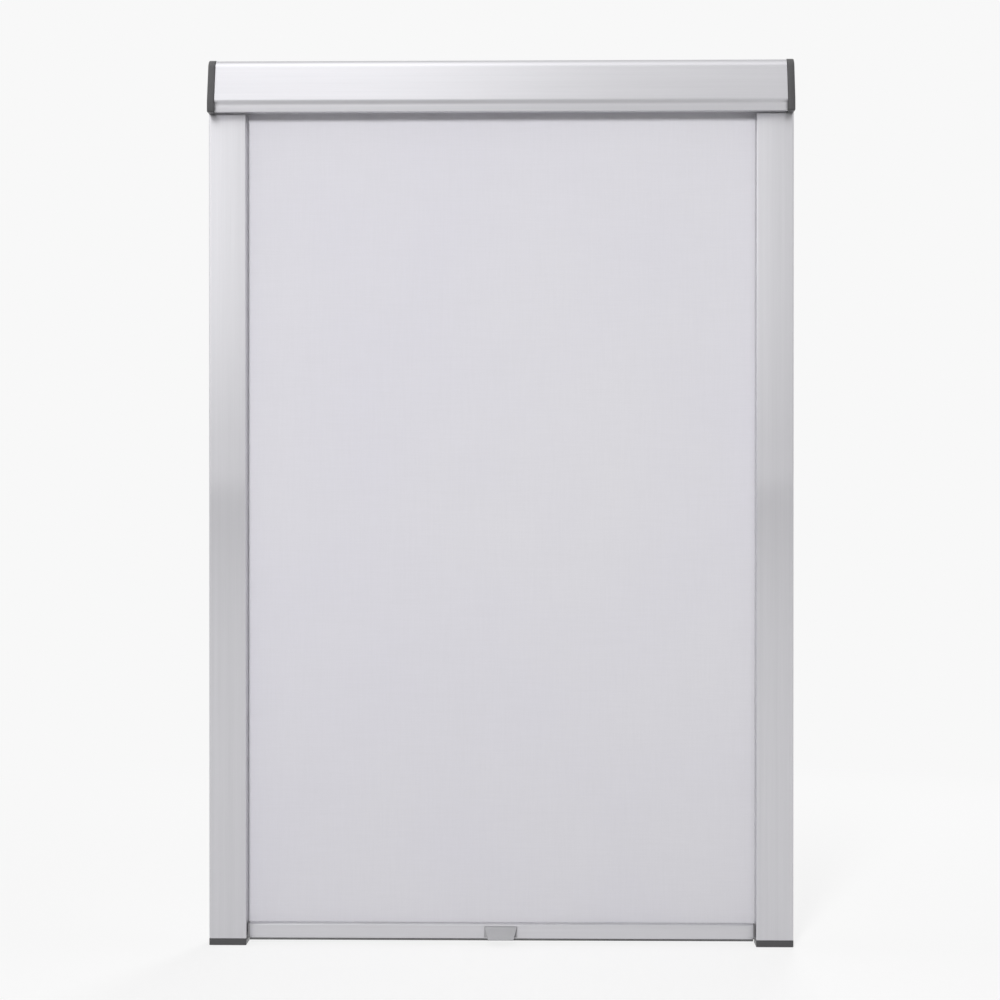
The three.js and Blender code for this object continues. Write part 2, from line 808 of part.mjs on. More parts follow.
function bottomBar() {
  const half = sideFace - barEnd;
  const cut = [-half - overrun, half + overrun];
  const hollow = rectangle(barWall - barFront, barBack - barWall, barWall, barHeight - barWall);
  const shell = alongX(prism(barOutline(), 2 * half, [hollow]), -half);
  const ring = rodX(splineBore + splineRingWall, [-half, half], [0, splineHeight]);
  const bore = rodX(splineBore, cut, [0, splineHeight]);
  const clothMouth = block(cut, [-barMouth / 2, barMouth / 2], [splineHeight, barHeight + overrun]);
  const neck = sealNeck / 2 + fit;
  const sealMouth = block(cut, [sealCentre - neck, sealCentre + neck], [-overrun, barWall + fit]);
  const notchHalf = handleTopWidth / 2 + fit;
  const notch = block([-notchHalf, notchHalf], [-barFront - overrun, barWall - barFront + fit],
    [-overrun, barHeight - handleTopMargin]);
  const inside = block([-half, half], [barWall - barFront - fit, barBack - barWall + fit],
    [barWall - fit, barHeight - barWall + fit]);
  const boundRing = toGeometry(toSolid(ring).intersect(toSolid(inside)));
  return carve([shell, boundRing], [bore, clothMouth, sealMouth, notch]);
}

function barSpline() {
  const half = sideFace - barEnd - fit;
  return rodX(splineRadius, [-half, half], [0, splineHeight]);
}

function barSeal() {
  const half = sideFace - barEnd;
  const [foot, neck, root] = [sealFootWidth / 2, sealNeck / 2, sealRoot / 2];
  const rootLow = barWall + fit;
  const outline = roundCorners([
    [sealCentre - foot, -fit - sealHeight, sealRadius],
    [sealCentre + foot, -fit - sealHeight, sealRadius],
    [sealCentre + foot, -fit],
    [sealCentre + neck, -fit],
    [sealCentre + neck, rootLow],
    [sealCentre + root, rootLow],
    [sealCentre + root, rootLow + sealRootThickness],
    [sealCentre - root, rootLow + sealRootThickness],
    [sealCentre - root, rootLow],
    [sealCentre - neck, rootLow],
    [sealCentre - neck, -fit],
    [sealCentre - foot, -fit],
  ]);
  return alongX(prism(outline, 2 * half), -half);
}

// Handle

// The moulded grip's outer form, or with an inset the finger space inside it, from the foot upwards.
function gripForm(inset, top, back) {
  const foot = -handleDrop - (inset ? overrun : 0);
  const handleTop = barHeight - handleTopMargin - fit;
  const rings = gripLevelShares.map((level) => {
    const height = foot + (top - foot) * level;
    const share = THREE.MathUtils.clamp((handleTop - height) / (handleTop + handleDrop), 0, 1);
    const half = (handleTopWidth + (handleFootWidth - handleTopWidth) * share) / 2 - inset;
    const swell = (handleProud - handleStart) * Math.sin((share * Math.PI) / 2);
    const proud = barFront + handleStart + swell - inset;
    return { height, outline: rectangle(-half, half, -proud, back, handleStart) };
  });
  return skin(rings.map((ring) => ring.outline), rings.map((ring) => ring.height));
}

function pullHandle() {
  const flangeFront = barWall - barFront + fit;
  const handleTop = barHeight - handleTopMargin - fit;
  const grip = gripForm(0, handleTop, flangeFront + fit);
  const fingers = gripForm(handleWall, handleTop - handleWeb, flangeFront + overrun);
  const flangeHalf = handleTopWidth / 2 + fit + handleFlangeEdge;
  const flange = block([-flangeHalf, flangeHalf], [flangeFront, flangeFront + handleFlange],
    [barWall + fit, barHeight - barWall - fit]);
  const underBar = block([-flangeHalf, flangeHalf], [barWall - barFront - fit, overrun],
    [-handleDrop - overrun, barWall + fit]);
  const hollowGrip = carve([grip], [fingers, underBar]);
  return carve([hollowGrip, flange]);
}

// Gliders, drawn for the left from the blind's outer face

const shoeLow = fit + barDrop;
const shoeOuter = trackOuter + fit;
const shoeInner = trackInner - fit;
const padInner = shoeOuter + padThickness;
const pocketFloor = padInner + brakeGap;

function glider() {
  const plateInner = barEnd - fit;
  const plateOuter = plateInner - gliderPlate;
  const tongueHalf = slotWidth / 2 - fit;
  const shoeHalf = trackHalf - fit;
  const plate = alongX(bevelledPlate(barOutline(), gliderPlate, barBackRadius), plateOuter);
  const tongue = block([shoeInner - overrun, plateOuter + overrun], [-tongueHalf, tongueHalf],
    [shoeLow, barHeight - fit]);
  const shoe = prism(rectangle(shoeOuter, shoeInner, -shoeHalf, shoeHalf, shoeRadius), shoeHeight)
    .translate(0, 0, shoeLow);
  const plug = block([plateInner - overrun, plateInner + gliderPlugLength],
    [barWall - barFront + fit, -splineBore - splineRingWall - fit],
    [barWall + fit + sealRootThickness + fit, barHeight - barWall - fit]);
  const pocket = block([shoeOuter - overrun, pocketFloor], [-brakeWidth / 2 - fit, brakeWidth / 2 + fit],
    [shoeLow + padMargin, shoeLow + shoeHeight - padMargin]);
  const clothSlit = block([shoeOuter - overrun, plateInner + overrun], [-barMouth / 2, barMouth / 2],
    [splineHeight + splineRadius, shoeLow + shoeHeight + overrun]);
  return carve([plate, tongue, shoe, plug], [pocket, clothSlit]);
}

function brakePad() {
  const outline = rectangle(-brakeWidth / 2, brakeWidth / 2,
    shoeLow + padMargin + fit, shoeLow + shoeHeight - padMargin - fit, shoeRadius);
  return alongX(prism(outline, padThickness - fit), shoeOuter);
}

// A bowed strip of spring steel between the pad and the floor of its pocket.
function brakeSpring() {
  const low = shoeLow + padMargin + fit;
  const high = shoeLow + shoeHeight - padMargin - fit;
  const rise = brakeGap - 2 * fit - brakeStrip;
  const bow = (grow) => Array.from({ length: bowSteps + 1 }, (_, step) => new THREE.Vector2(
    padInner + fit + grow + rise * Math.sin((Math.PI * step) / bowSteps),
    low + ((high - low) * step) / bowSteps));
  const strip = prism([...bow(0), ...bow(brakeStrip).reverse()], brakeWidth - 2 * fit);
  return alongFront(strip, brakeWidth / 2 - fit);
}

// Assembly

const blind = new THREE.Group();
const roller = new THREE.Group();
const motor = new THREE.Group();
const bar = new THREE.Group();
roller.position.set(0, rollerY, 0);
motor.position.copy(roller.position);
bar.position.set(0, -clothPlane, barBottom);
blind.add(roller, motor, bar);

function place(group, name, geometry, material, [x, y, z] = [0, 0, 0]) {
  const mesh = new THREE.Mesh(geometry, material);
  mesh.name = name;
  mesh.position.set(x, y, z);
  group.add(mesh);
}

// Adds a piece to each side, drawn for the left and mirrored for the right.
function placePair(group, name, geometry, material, [x, y, z] = [0, 0, 0]) {
  const plain = carve([geometry]);
  place(group, `left_${name}`, plain, material, [x - sideFace, y, z]);
  place(group, `right_${name}`, mirrored(plain), material, [sideFace - x, y, z]);
}

place(blind, 'head_profile', headProfile(), anodised);
place(blind, 'left_end_cap', endCap(roundSocket()), darkPlastic, [-sideFace, 0, 0]);
place(blind, 'right_end_cap', mirrored(endCap(flatSocket())), darkPlastic, [sideFace, 0, 0]);
headPorts.forEach(([y, z], index) => {
  placePair(blind, `cap_screw_${['upper', 'lower'][index]}`, capScrew(), zincSteel, [fit, y, z]);
});
placePair(blind, 'rail', sideRail(), anodised);
placePair(blind, 'rail_foot', railFootCap(), darkPlastic);
placePair(blind, 'foot_screw', footScrew(), zincSteel);
place(blind, 'blackout_cloth', blackoutCloth(), cloth);

place(roller, 'roller_tube', rollerTube(), anodised);
place(roller, 'roller_spline', rollerSpline(), whitePlastic);
place(roller, 'rolled_cloth', rolledCloth(), cloth);
place(roller, 'idler_plug', rollerPlug(pinRadius + fit), whitePlastic);
place(roller, 'drive_plug', mirrored(rollerPlug(shaftRadius + fit)), whitePlastic);
place(roller, 'idler_pin', idlerPin(), zincSteel);

place(motor, 'spring_shaft', springShaft(), zincSteel);
place(motor, 'spring_anchor', springAnchor(), whitePlastic);
place(motor, 'torsion_spring', torsionSpring(), springSteel);

place(bar, 'bottom_bar', bottomBar(), anodised);
place(bar, 'bar_spline', barSpline(), whitePlastic);
place(bar, 'bar_seal', barSeal(), rubber);
place(bar, 'pull_handle', pullHandle(), greyPlastic);
placePair(bar, 'glider', glider(), darkPlastic);
placePair(bar, 'brake_pad', brakePad(), felt);
placePair(bar, 'brake_spring', brakeSpring(), springSteel);

console.log(`bar: slides up by ${barTravel.toFixed(1)} mm`);

export default blind;
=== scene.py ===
# Blackout roller blind for a roof window, closed. Metres, X along the head, front towards -Y, Z up.

import math

import bpy
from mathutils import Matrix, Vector


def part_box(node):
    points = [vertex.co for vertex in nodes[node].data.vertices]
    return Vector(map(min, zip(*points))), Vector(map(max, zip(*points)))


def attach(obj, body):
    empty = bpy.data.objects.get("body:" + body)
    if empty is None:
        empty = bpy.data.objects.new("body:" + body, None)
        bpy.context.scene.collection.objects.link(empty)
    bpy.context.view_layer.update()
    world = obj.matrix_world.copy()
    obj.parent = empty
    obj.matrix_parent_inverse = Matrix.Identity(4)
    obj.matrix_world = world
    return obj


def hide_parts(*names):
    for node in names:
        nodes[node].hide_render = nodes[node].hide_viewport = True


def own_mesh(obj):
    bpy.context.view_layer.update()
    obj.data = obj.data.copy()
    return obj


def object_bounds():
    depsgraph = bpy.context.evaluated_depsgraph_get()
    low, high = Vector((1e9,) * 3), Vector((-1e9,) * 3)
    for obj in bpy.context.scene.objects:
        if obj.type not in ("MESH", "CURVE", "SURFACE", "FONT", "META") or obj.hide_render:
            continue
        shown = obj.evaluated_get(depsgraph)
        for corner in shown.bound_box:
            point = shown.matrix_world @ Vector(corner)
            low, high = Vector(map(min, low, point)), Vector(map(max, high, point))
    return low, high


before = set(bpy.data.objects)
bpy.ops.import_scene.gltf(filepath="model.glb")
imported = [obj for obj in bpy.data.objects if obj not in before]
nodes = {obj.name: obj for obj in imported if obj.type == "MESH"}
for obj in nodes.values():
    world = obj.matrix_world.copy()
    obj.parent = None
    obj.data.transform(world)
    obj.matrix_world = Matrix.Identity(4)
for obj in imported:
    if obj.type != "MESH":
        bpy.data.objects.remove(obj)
cadLow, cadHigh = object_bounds()
print("frame loaded:", len(nodes), "nodes")


# Selecting and finishing, with angles in degrees

meshValues = {
    "doubles": 0.000001,
    "nodeDoubles": 0.000002,
    "flatAngle": 0.4,
    "sharpAngle": 32,
    "cutAngle": 50,
    "smoothAngle": 38,
    "clothAngle": 40,
    "roundProfile": 0.5,
}


def selectOnly(piece):
    bpy.ops.object.select_all(action="DESELECT")
    piece.select_set(True)
    bpy.context.view_layer.objects.active = piece


def enterEdit(piece, mode="VERT"):
    selectOnly(piece)
    bpy.ops.object.mode_set(mode="EDIT")
    bpy.ops.mesh.select_mode(type=mode)
    bpy.ops.mesh.select_all(action="DESELECT")


def leaveEdit():
    bpy.ops.object.mode_set(mode="OBJECT")


# Selects the vertices, edges or faces whose middle passes a test, in edit mode.
def selectWhere(piece, kind, test):
    leaveEdit()
    mesh = piece.data
    for vertex in mesh.vertices:
        vertex.select = kind == "VERT" and test(vertex.co)
    for edge in mesh.edges:
        middle = (mesh.vertices[edge.vertices[0]].co + mesh.vertices[edge.vertices[1]].co) / 2
        edge.select = kind == "EDGE" and test(middle)
    for face in mesh.polygons:
        face.select = kind == "FACE" and test(face.center)
    bpy.ops.object.mode_set(mode="EDIT")
    bpy.ops.mesh.select_mode(type=kind)


def useModifier(piece, kind, **values):
    selectOnly(piece)
    modifier = piece.modifiers.new(kind.title(), kind)
    for key, value in values.items():
        setattr(modifier, key, value)
    bpy.ops.object.modifier_apply(modifier=modifier.name)


def turnFacesOut(piece):
    enterEdit(piece)
    bpy.ops.mesh.select_all(action="SELECT")
    bpy.ops.mesh.remove_doubles(threshold=meshValues["doubles"])
    bpy.ops.mesh.normals_make_consistent(inside=False)
    leaveEdit()


def smoothShading(piece, angle):
    selectOnly(piece)
    bpy.ops.object.shade_smooth_by_angle(angle=math.radians(angle))


# Rounds what is sharper than an angle, then smooths the shading of what is left.
def softenEdges(piece, width, steps=2, sharpAngle=meshValues["sharpAngle"]):
    useModifier(piece, "BEVEL", width=width, segments=steps, limit_method="ANGLE",
                angle_limit=math.radians(sharpAngle), use_clamp_overlap=True)
    smoothShading(piece, meshValues["smoothAngle"])


# Rounds the selected vertices or edges, in edit mode.
def roundSelected(kind, width, steps):
    bpy.ops.mesh.bevel(offset=width, segments=steps, profile=meshValues["roundProfile"], affect=kind)


# Selects the edges along X that lie at a place in Y and Z, in edit mode.
def selectLongEdges(piece, y, z, reach):
    selectWhere(piece, "EDGE", lambda spot: abs(spot.y - y) < reach and abs(spot.z - z) < reach)


def joinInto(piece, *others):
    bpy.ops.object.select_all(action="DESELECT")
    for other in (*others, piece):
        other.select_set(True)
    bpy.context.view_layer.objects.active = piece
    bpy.ops.object.join()


def cutAway(piece, cutter):
    useModifier(piece, "BOOLEAN", object=cutter, operation="DIFFERENCE", solver="EXACT")
    bpy.data.objects.remove(cutter)


def dress(piece, body, slot, material, *replaced):
    piece.data.materials.clear()
    piece.data.materials.append(material)
    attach(piece, body)
    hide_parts(*replaced)


# Drawing by section

sectionValues = {"seed": 0.001, "cornerReach": 0.00001}


# Draws a section from corners of (across, up, radius), one extruded vertex after another: in Y and Z at a
# place along X, or in X and Y at a place along Z. A closed section is filled, then the corners are rounded.
def drawSection(name, corners, axis, start, arcSteps=8, closed=True):
    spots = [Vector((start, across, up)) if axis == "X" else Vector((across, up, start))
             for across, up, radius in corners]
    bpy.ops.object.select_all(action="DESELECT")
    bpy.ops.mesh.primitive_plane_add(size=sectionValues["seed"], location=spots[0])
    piece = bpy.context.object
    piece.name = name
    bpy.ops.object.transform_apply(location=True)
    enterEdit(piece)
    bpy.ops.mesh.select_all(action="SELECT")
    bpy.ops.mesh.merge(type="CENTER")
    for before, spot in zip(spots, spots[1:]):
        bpy.ops.mesh.extrude_region_move(TRANSFORM_OT_translate={"value": spot - before})
    if closed:
        bpy.ops.mesh.select_all(action="SELECT")
        bpy.ops.mesh.edge_face_add()
    for index, (across, up, radius) in enumerate(corners):
        if radius > 0:
            spot = spots[index]
            into = (spot - spots[index - 1]).normalized()
            out = (spots[(index + 1) % len(spots)] - spot).normalized()
            reach = radius * math.tan(into.angle(out) / 2)
            selectWhere(piece, "VERT", lambda place: (place - spot).length < sectionValues["cornerReach"])
            roundSelected("VERTICES", reach, arcSteps)
    leaveEdit()
    return piece


def drawOut(piece, axis, length):
    enterEdit(piece)
    bpy.ops.mesh.select_all(action="SELECT")
    way = (length, 0, 0) if axis == "X" else (0, 0, length)
    bpy.ops.mesh.extrude_region_move(TRANSFORM_OT_translate={"value": way})
    leaveEdit()
    turnFacesOut(piece)


# Turns a left-hand piece into its right-hand twin, with its own mesh.
def rightTwin(piece, name):
    twin = piece.copy()
    twin.data = piece.data.copy()
    twin.name = name
    bpy.context.scene.collection.objects.link(twin)
    enterEdit(twin)
    bpy.ops.mesh.select_all(action="SELECT")
    bpy.ops.transform.resize(value=(-1, 1, 1), center_override=(0, 0, 0))
    bpy.ops.mesh.flip_normals()
    leaveEdit()
    return twin


# The construction's own form as a mesh of its own, its doubles merged and its flat faces made whole.
def mergedCopy(nodeName, name):
    piece = bpy.data.objects.new(name, nodes[nodeName].data.copy())
    bpy.context.scene.collection.objects.link(piece)
    enterEdit(piece)
    bpy.ops.mesh.select_all(action="SELECT")
    bpy.ops.mesh.customdata_custom_splitnormals_clear()
    bpy.ops.mesh.remove_doubles(threshold=meshValues["nodeDoubles"])
    bpy.ops.mesh.dissolve_limited(angle_limit=math.radians(meshValues["flatAngle"]))
    leaveEdit()
    return piece


def softCopy(nodeName, name, width, steps=2):
    piece = mergedCopy(nodeName, name)
    softenEdges(piece, width, steps)
    return piece


# Shader groups

def startGroup(name, inputs, outputs):
    tree = bpy.data.node_groups.new(name, "ShaderNodeTree")
    for label, kind, value in inputs:
        socket = tree.interface.new_socket(name=label, in_out="INPUT", socket_type="NodeSocket" + kind)
        if value is not None:
            socket.default_value = value
    for label in outputs:
        tree.interface.new_socket(name=label, in_out="OUTPUT", socket_type="NodeSocketFloat")
    return tree, tree.nodes.new("NodeGroupInput").outputs, tree.nodes.new("NodeGroupOutput").inputs


def feed(tree, socket, value):
    if isinstance(value, bpy.types.NodeSocket):
        tree.links.new(value, socket)
    else:
        socket.default_value = value


def addNode(tree, kind, settings=None, **inputs):
    node = tree.nodes.new("ShaderNode" + kind)
    for key, value in (settings or {}).items():
        setattr(node, key, value)
    for key, value in inputs.items():
        feed(tree, node.inputs[key.replace("_", " ")], value)
    return node


def calc(tree, operation, first, second=0.0):
    node = tree.nodes.new("ShaderNodeMath")
    node.operation = operation
    feed(tree, node.inputs[0], first)
    feed(tree, node.inputs[1], second)
    return node.outputs[0]


# Maps zero to one onto a span, or any other span given as the source.
def span(tree, value, low, high, sourceLow=0.0, sourceHigh=1.0):
    node = addNode(tree, "MapRange", Value=value, To_Min=low, To_Max=high,
                   From_Min=sourceLow, From_Max=sourceHigh)
    return node.outputs["Result"]


# Maps a range of values onto zero to one.
def maskFrom(tree, value, source):
    return span(tree, value, 0.0, 1.0, *source)


def mixColours(tree, share, first, second):
    node = tree.nodes.new("ShaderNodeMix")
    node.data_type = "RGBA"
    feed(tree, node.inputs[0], share)
    feed(tree, node.inputs[6], first)       # the colour sockets come after the number and vector ones
    feed(tree, node.inputs[7], second)
    return node.outputs[2]


def useGroup(tree, group, **inputs):
    node = tree.nodes.new("ShaderNodeGroup")
    node.node_tree = group
    for key, value in inputs.items():
        feed(tree, node.inputs[key], value)
    return node.outputs


dieLineValues = {"fine": 2600.0, "broad": 260.0, "patches": 9.0, "fineShare": 0.6, "broadShare": 0.4}


# Fine lines that a die leaves along an extrusion, plus slow patches in the anodising.
def makeDieLines():
    values = dieLineValues
    tree, given, out = startGroup("dieLines", [
        ("Vector", "Vector", None), ("Fine", "Float", values["fine"]), ("Broad", "Float", values["broad"]),
    ], ["Line", "Patch"])
    fine = addNode(tree, "TexNoise", Vector=given["Vector"], Scale=given["Fine"], Detail=3.0,
                   Roughness=0.6)
    broad = addNode(tree, "TexNoise", Vector=given["Vector"], Scale=given["Broad"], Detail=2.0)
    both = calc(tree, "ADD", calc(tree, "MULTIPLY", fine.outputs["Fac"], values["fineShare"]),
                calc(tree, "MULTIPLY", broad.outputs["Fac"], values["broadShare"]))
    feed(tree, out["Line"], both)
    slow = addNode(tree, "TexNoise", Vector=given["Vector"], Scale=values["patches"], Detail=2.0)
    feed(tree, out["Patch"], slow.outputs["Fac"])
    return tree


mouldGrainValues = {"grain": 2400.0, "drift": 45.0}


# The fine spark grain of a mould, with a slow drift that shows as uneven sheen.
def makeMouldGrain():
    values = mouldGrainValues
    tree, given, out = startGroup("mouldGrain", [
        ("Vector", "Vector", None), ("Grain", "Float", values["grain"]),
    ], ["Height", "Drift"])
    pits = addNode(tree, "TexVoronoi", {"feature": "SMOOTH_F1"}, Vector=given["Vector"], Scale=given["Grain"])
    cloudy = addNode(tree, "TexNoise", Vector=given["Vector"], Scale=given["Grain"], Detail=2.0)
    feed(tree, out["Height"], calc(tree, "ADD", pits.outputs["Distance"], cloudy.outputs["Fac"]))
    slow = addNode(tree, "TexNoise", Vector=given["Vector"], Scale=values["drift"], Detail=3.0)
    feed(tree, out["Drift"], slow.outputs["Fac"])
    return tree


rubbedEdgeValues = {"from": 0.52, "to": 0.62, "patches": 320.0, "patchRange": (0.35, 0.65)}


# Where handling has rubbed the outer edges, broken up by noise.
def makeRubbedEdge():
    values = rubbedEdgeValues
    tree, given, out = startGroup("rubbedEdge", [
        ("Vector", "Vector", None), ("From", "Float", values["from"]), ("To", "Float", values["to"]),
    ], ["Mask"])
    point = addNode(tree, "NewGeometry").outputs["Pointiness"]
    edge = addNode(tree, "MapRange", Value=point, From_Min=given["From"], From_Max=given["To"])
    patchy = addNode(tree, "TexNoise", Vector=given["Vector"], Scale=values["patches"], Detail=4.0)
    feed(tree, out["Mask"], calc(tree, "MULTIPLY", edge.outputs["Result"],
                                 maskFrom(tree, patchy.outputs["Fac"], values["patchRange"])))
    return tree


plainWeaveValues = {"threads": 2400.0, "yarnAcross": 900.0, "yarnAlong": 30.0}


# Plain weave: warp and weft take turns on top, each thread rounded across.
def makePlainWeave():
    values = plainWeaveValues
    yarn, slow = values["yarnAcross"], values["yarnAlong"]
    tree, given, out = startGroup("plainWeave", [
        ("Vector", "Vector", None), ("Threads", "Float", values["threads"]),
    ], ["Height", "Thread"])
    parts = addNode(tree, "SeparateXYZ", Vector=given["Vector"])
    across = calc(tree, "MULTIPLY", parts.outputs["X"], given["Threads"])
    along = calc(tree, "MULTIPLY", parts.outputs["Z"], given["Threads"])
    warp = calc(tree, "ABSOLUTE", calc(tree, "SINE", calc(tree, "MULTIPLY", across, math.pi)))
    weft = calc(tree, "ABSOLUTE", calc(tree, "SINE", calc(tree, "MULTIPLY", along, math.pi)))
    turn = calc(tree, "ADD", calc(tree, "FLOOR", across), calc(tree, "FLOOR", along))
    warpUp = calc(tree, "ABSOLUTE", calc(tree, "MODULO", turn, 2.0))
    weftUp = calc(tree, "SUBTRACT", 1.0, warpUp)
    high = calc(tree, "ADD", calc(tree, "MULTIPLY", warp, warpUp), calc(tree, "MULTIPLY", weft, weftUp))
    feed(tree, out["Height"], high)
    ends = addNode(tree, "TexNoise", Scale=1.0, Detail=2.0, Vector=addNode(
        tree, "Mapping", Vector=given["Vector"], Scale=(yarn, yarn, slow)).outputs["Vector"])
    picks = addNode(tree, "TexNoise", Scale=1.0, Detail=2.0, Vector=addNode(
        tree, "Mapping", Vector=given["Vector"], Scale=(slow, yarn, yarn)).outputs["Vector"])
    feed(tree, out["Thread"], calc(tree, "ADD", calc(tree, "MULTIPLY", ends.outputs["Fac"], warpUp),
                                   calc(tree, "MULTIPLY", picks.outputs["Fac"], weftUp)))
    return tree


settledDustValues = {"specks": 500.0, "upRange": (0.5, 1.0), "speckRange": (0.45, 0.7)}


# A little settled dust, on faces that look up.
def makeSettledDust():
    values = settledDustValues
    tree, given, out = startGroup("settledDust", [("Vector", "Vector", None)], ["Mask"])
    facing = addNode(tree, "SeparateXYZ", Vector=addNode(tree, "NewGeometry").outputs["Normal"]).outputs
    specks = addNode(tree, "TexNoise", Vector=given["Vector"], Scale=values["specks"], Detail=5.0,
                     Roughness=0.7)
    feed(tree, out["Mask"], calc(tree, "MULTIPLY", maskFrom(tree, facing["Z"], values["upRange"]),
                                 maskFrom(tree, specks.outputs["Fac"], values["speckRange"])))
    return tree


dieLines = makeDieLines()
mouldGrain = makeMouldGrain()
rubbedEdge = makeRubbedEdge()
plainWeave = makePlainWeave()
settledDust = makeSettledDust()
print("shader groups built")


# Materials

def startMaterial(name, roughness, metallic=0.0):
    material = bpy.data.materials.new(name)
    material.use_nodes = True
    tree = material.node_tree
    shader = tree.nodes["Principled BSDF"]
    shader.inputs["Roughness"].default_value = roughness
    shader.inputs["Metallic"].default_value = metallic
    place = addNode(tree, "TexCoord").outputs["Object"]
    return material, tree, shader.inputs, place


def raiseSurface(tree, shader, height, depth):
    bump = addNode(tree, "Bump", Height=height, Distance=depth)
    feed(tree, shader["Normal"], bump.outputs["Normal"])


# Lets the roughness vary with a mask, from a little smoother than its plain value to a little rougher.
def unevenRoughness(tree, shader, mask, roughness, look):
    uneven = span(tree, mask, roughness - look["smoother"], roughness + look["rougher"])
    feed(tree, shader["Roughness"], uneven)


anodisedLook = {
    "colour": (0.602, 0.597, 0.622, 1),
    "lineColour": (0.562, 0.558, 0.582, 1),
    "lineRange": (0.35, 0.65),
    "lineStretch": 0.004,
    "lineDepth": 0.0000015,
    "metallic": 0.72,
    "roughnessLow": 0.31,
    "roughnessHigh": 0.38,
    "unevenRange": (0.3, 0.7),
    "patchShare": 0.5,
    "rubShine": 0.06,
    "dust": (0.62, 0.61, 0.58, 1),
    "dustShare": 0.12,
}


def anodisedMetal(name, axis):
    look = anodisedLook
    stretch = [look["lineStretch"] if letter == axis else 1.0 for letter in "XYZ"]
    material, tree, shader, place = startMaterial(name, look["roughnessLow"], look["metallic"])
    along = addNode(tree, "Mapping", Vector=place, Scale=stretch).outputs["Vector"]
    lines = useGroup(tree, dieLines, Vector=along)
    rub = useGroup(tree, rubbedEdge, Vector=place)["Mask"]
    dust = useGroup(tree, settledDust, Vector=place)["Mask"]
    lined = maskFrom(tree, lines["Line"], look["lineRange"])
    colour = mixColours(tree, lined, look["lineColour"], look["colour"])
    dusted = mixColours(tree, calc(tree, "MULTIPLY", dust, look["dustShare"]), colour, look["dust"])
    feed(tree, shader["Base Color"], dusted)
    uneven = calc(tree, "ADD", calc(tree, "MULTIPLY", lines["Line"], 1 - look["patchShare"]),
                  calc(tree, "MULTIPLY", lines["Patch"], look["patchShare"]))
    dull = span(tree, uneven, look["roughnessLow"], look["roughnessHigh"], *look["unevenRange"])
    worn = calc(tree, "SUBTRACT", dull, calc(tree, "MULTIPLY", rub, look["rubShine"]))
    feed(tree, shader["Roughness"], worn)
    raiseSurface(tree, shader, lines["Line"], look["lineDepth"])
    return material


plasticLooks = {
    "darkPlastic": {"colour": (0.052, 0.051, 0.053, 1), "rubbed": (0.097, 0.097, 0.102, 1),
                    "roughness": 0.33, "grain": 2600.0, "depth": 0.000012},
    # a lighter copy of the dark plastic: painted light, so the gliders in the shaded gaps at the bar's ends
    # read grey
    "litDarkPlastic": {"colour": (0.215, 0.213, 0.220, 1), "rubbed": (0.27, 0.27, 0.275, 1),
                     "roughness": 0.36, "grain": 2600.0, "depth": 0.000008},
    "greyPlastic": {"colour": (0.392, 0.390, 0.405, 1), "rubbed": (0.49, 0.49, 0.505, 1),
                    "roughness": 0.40, "grain": 3200.0, "depth": 0.000006},
    "whitePlastic": {"colour": (0.70, 0.70, 0.67, 1), "rubbed": (0.78, 0.78, 0.76, 1),
                     "roughness": 0.38, "grain": 3200.0, "depth": 0.000005},
}

plasticWear = {
    "driftShare": 0.16,
    "rubShare": 0.5,
    "dust": (0.45, 0.44, 0.42, 1),
    "dustShare": 0.15,
    "smoother": 0.05,
    "rougher": 0.07,
}


def mouldedPlastic(name):
    look, wear = plasticLooks[name], plasticWear
    material, tree, shader, place = startMaterial(name, look["roughness"])
    grain = useGroup(tree, mouldGrain, Vector=place, Grain=look["grain"])
    rub = useGroup(tree, rubbedEdge, Vector=place)["Mask"]
    dust = useGroup(tree, settledDust, Vector=place)["Mask"]
    drift = span(tree, grain["Drift"], 0.0, wear["driftShare"])
    drifted = mixColours(tree, drift, look["colour"], look["rubbed"])
    rubbed = mixColours(tree, calc(tree, "MULTIPLY", rub, wear["rubShare"]), drifted, look["rubbed"])
    dusted = mixColours(tree, calc(tree, "MULTIPLY", dust, wear["dustShare"]), rubbed, wear["dust"])
    feed(tree, shader["Base Color"], dusted)
    unevenRoughness(tree, shader, grain["Drift"], look["roughness"], wear)
    raiseSurface(tree, shader, grain["Height"], look["depth"])
    return material


steelLooks = {
    "zincSteel": {"colour": (0.52, 0.53, 0.55, 1), "tint": (0.60, 0.58, 0.50, 1), "roughness": 0.30},
    "springSteel": {"colour": (0.26, 0.265, 0.28, 1), "tint": (0.34, 0.31, 0.27, 1), "roughness": 0.34},
}

steelFilm = {
    "scale": 220.0,
    "range": (0.4, 0.7),
    "share": 0.6,
    "spangle": 1500.0,
    "depth": 0.000004,
    "smoother": 0.06,
    "rougher": 0.10,
}


def platedSteel(name):
    look, values = steelLooks[name], steelFilm
    material, tree, shader, place = startMaterial(name, look["roughness"], 1.0)
    spangle = addNode(tree, "TexVoronoi", Vector=place, Scale=values["spangle"])
    film = addNode(tree, "TexNoise", Vector=place, Scale=values["scale"], Detail=4.0).outputs["Fac"]
    tinted = span(tree, film, 0.0, values["share"], *values["range"])
    feed(tree, shader["Base Color"], mixColours(tree, tinted, look["colour"], look["tint"]))
    unevenRoughness(tree, shader, film, look["roughness"], values)
    raiseSurface(tree, shader, spangle.outputs["Distance"], values["depth"])
    return material


rubberLook = {
    "colour": (0.115, 0.115, 0.117, 1),
    "bloom": (0.19, 0.19, 0.19, 1),
    "bloomScale": 160.0,
    "bloomRange": (0.4, 0.75),
    "bloomShare": 0.5,
    "grain": 1900.0,
    "depth": 0.00002,
    "roughness": 0.72,
    "smoother": 0.08,
    "rougher": 0.12,
}


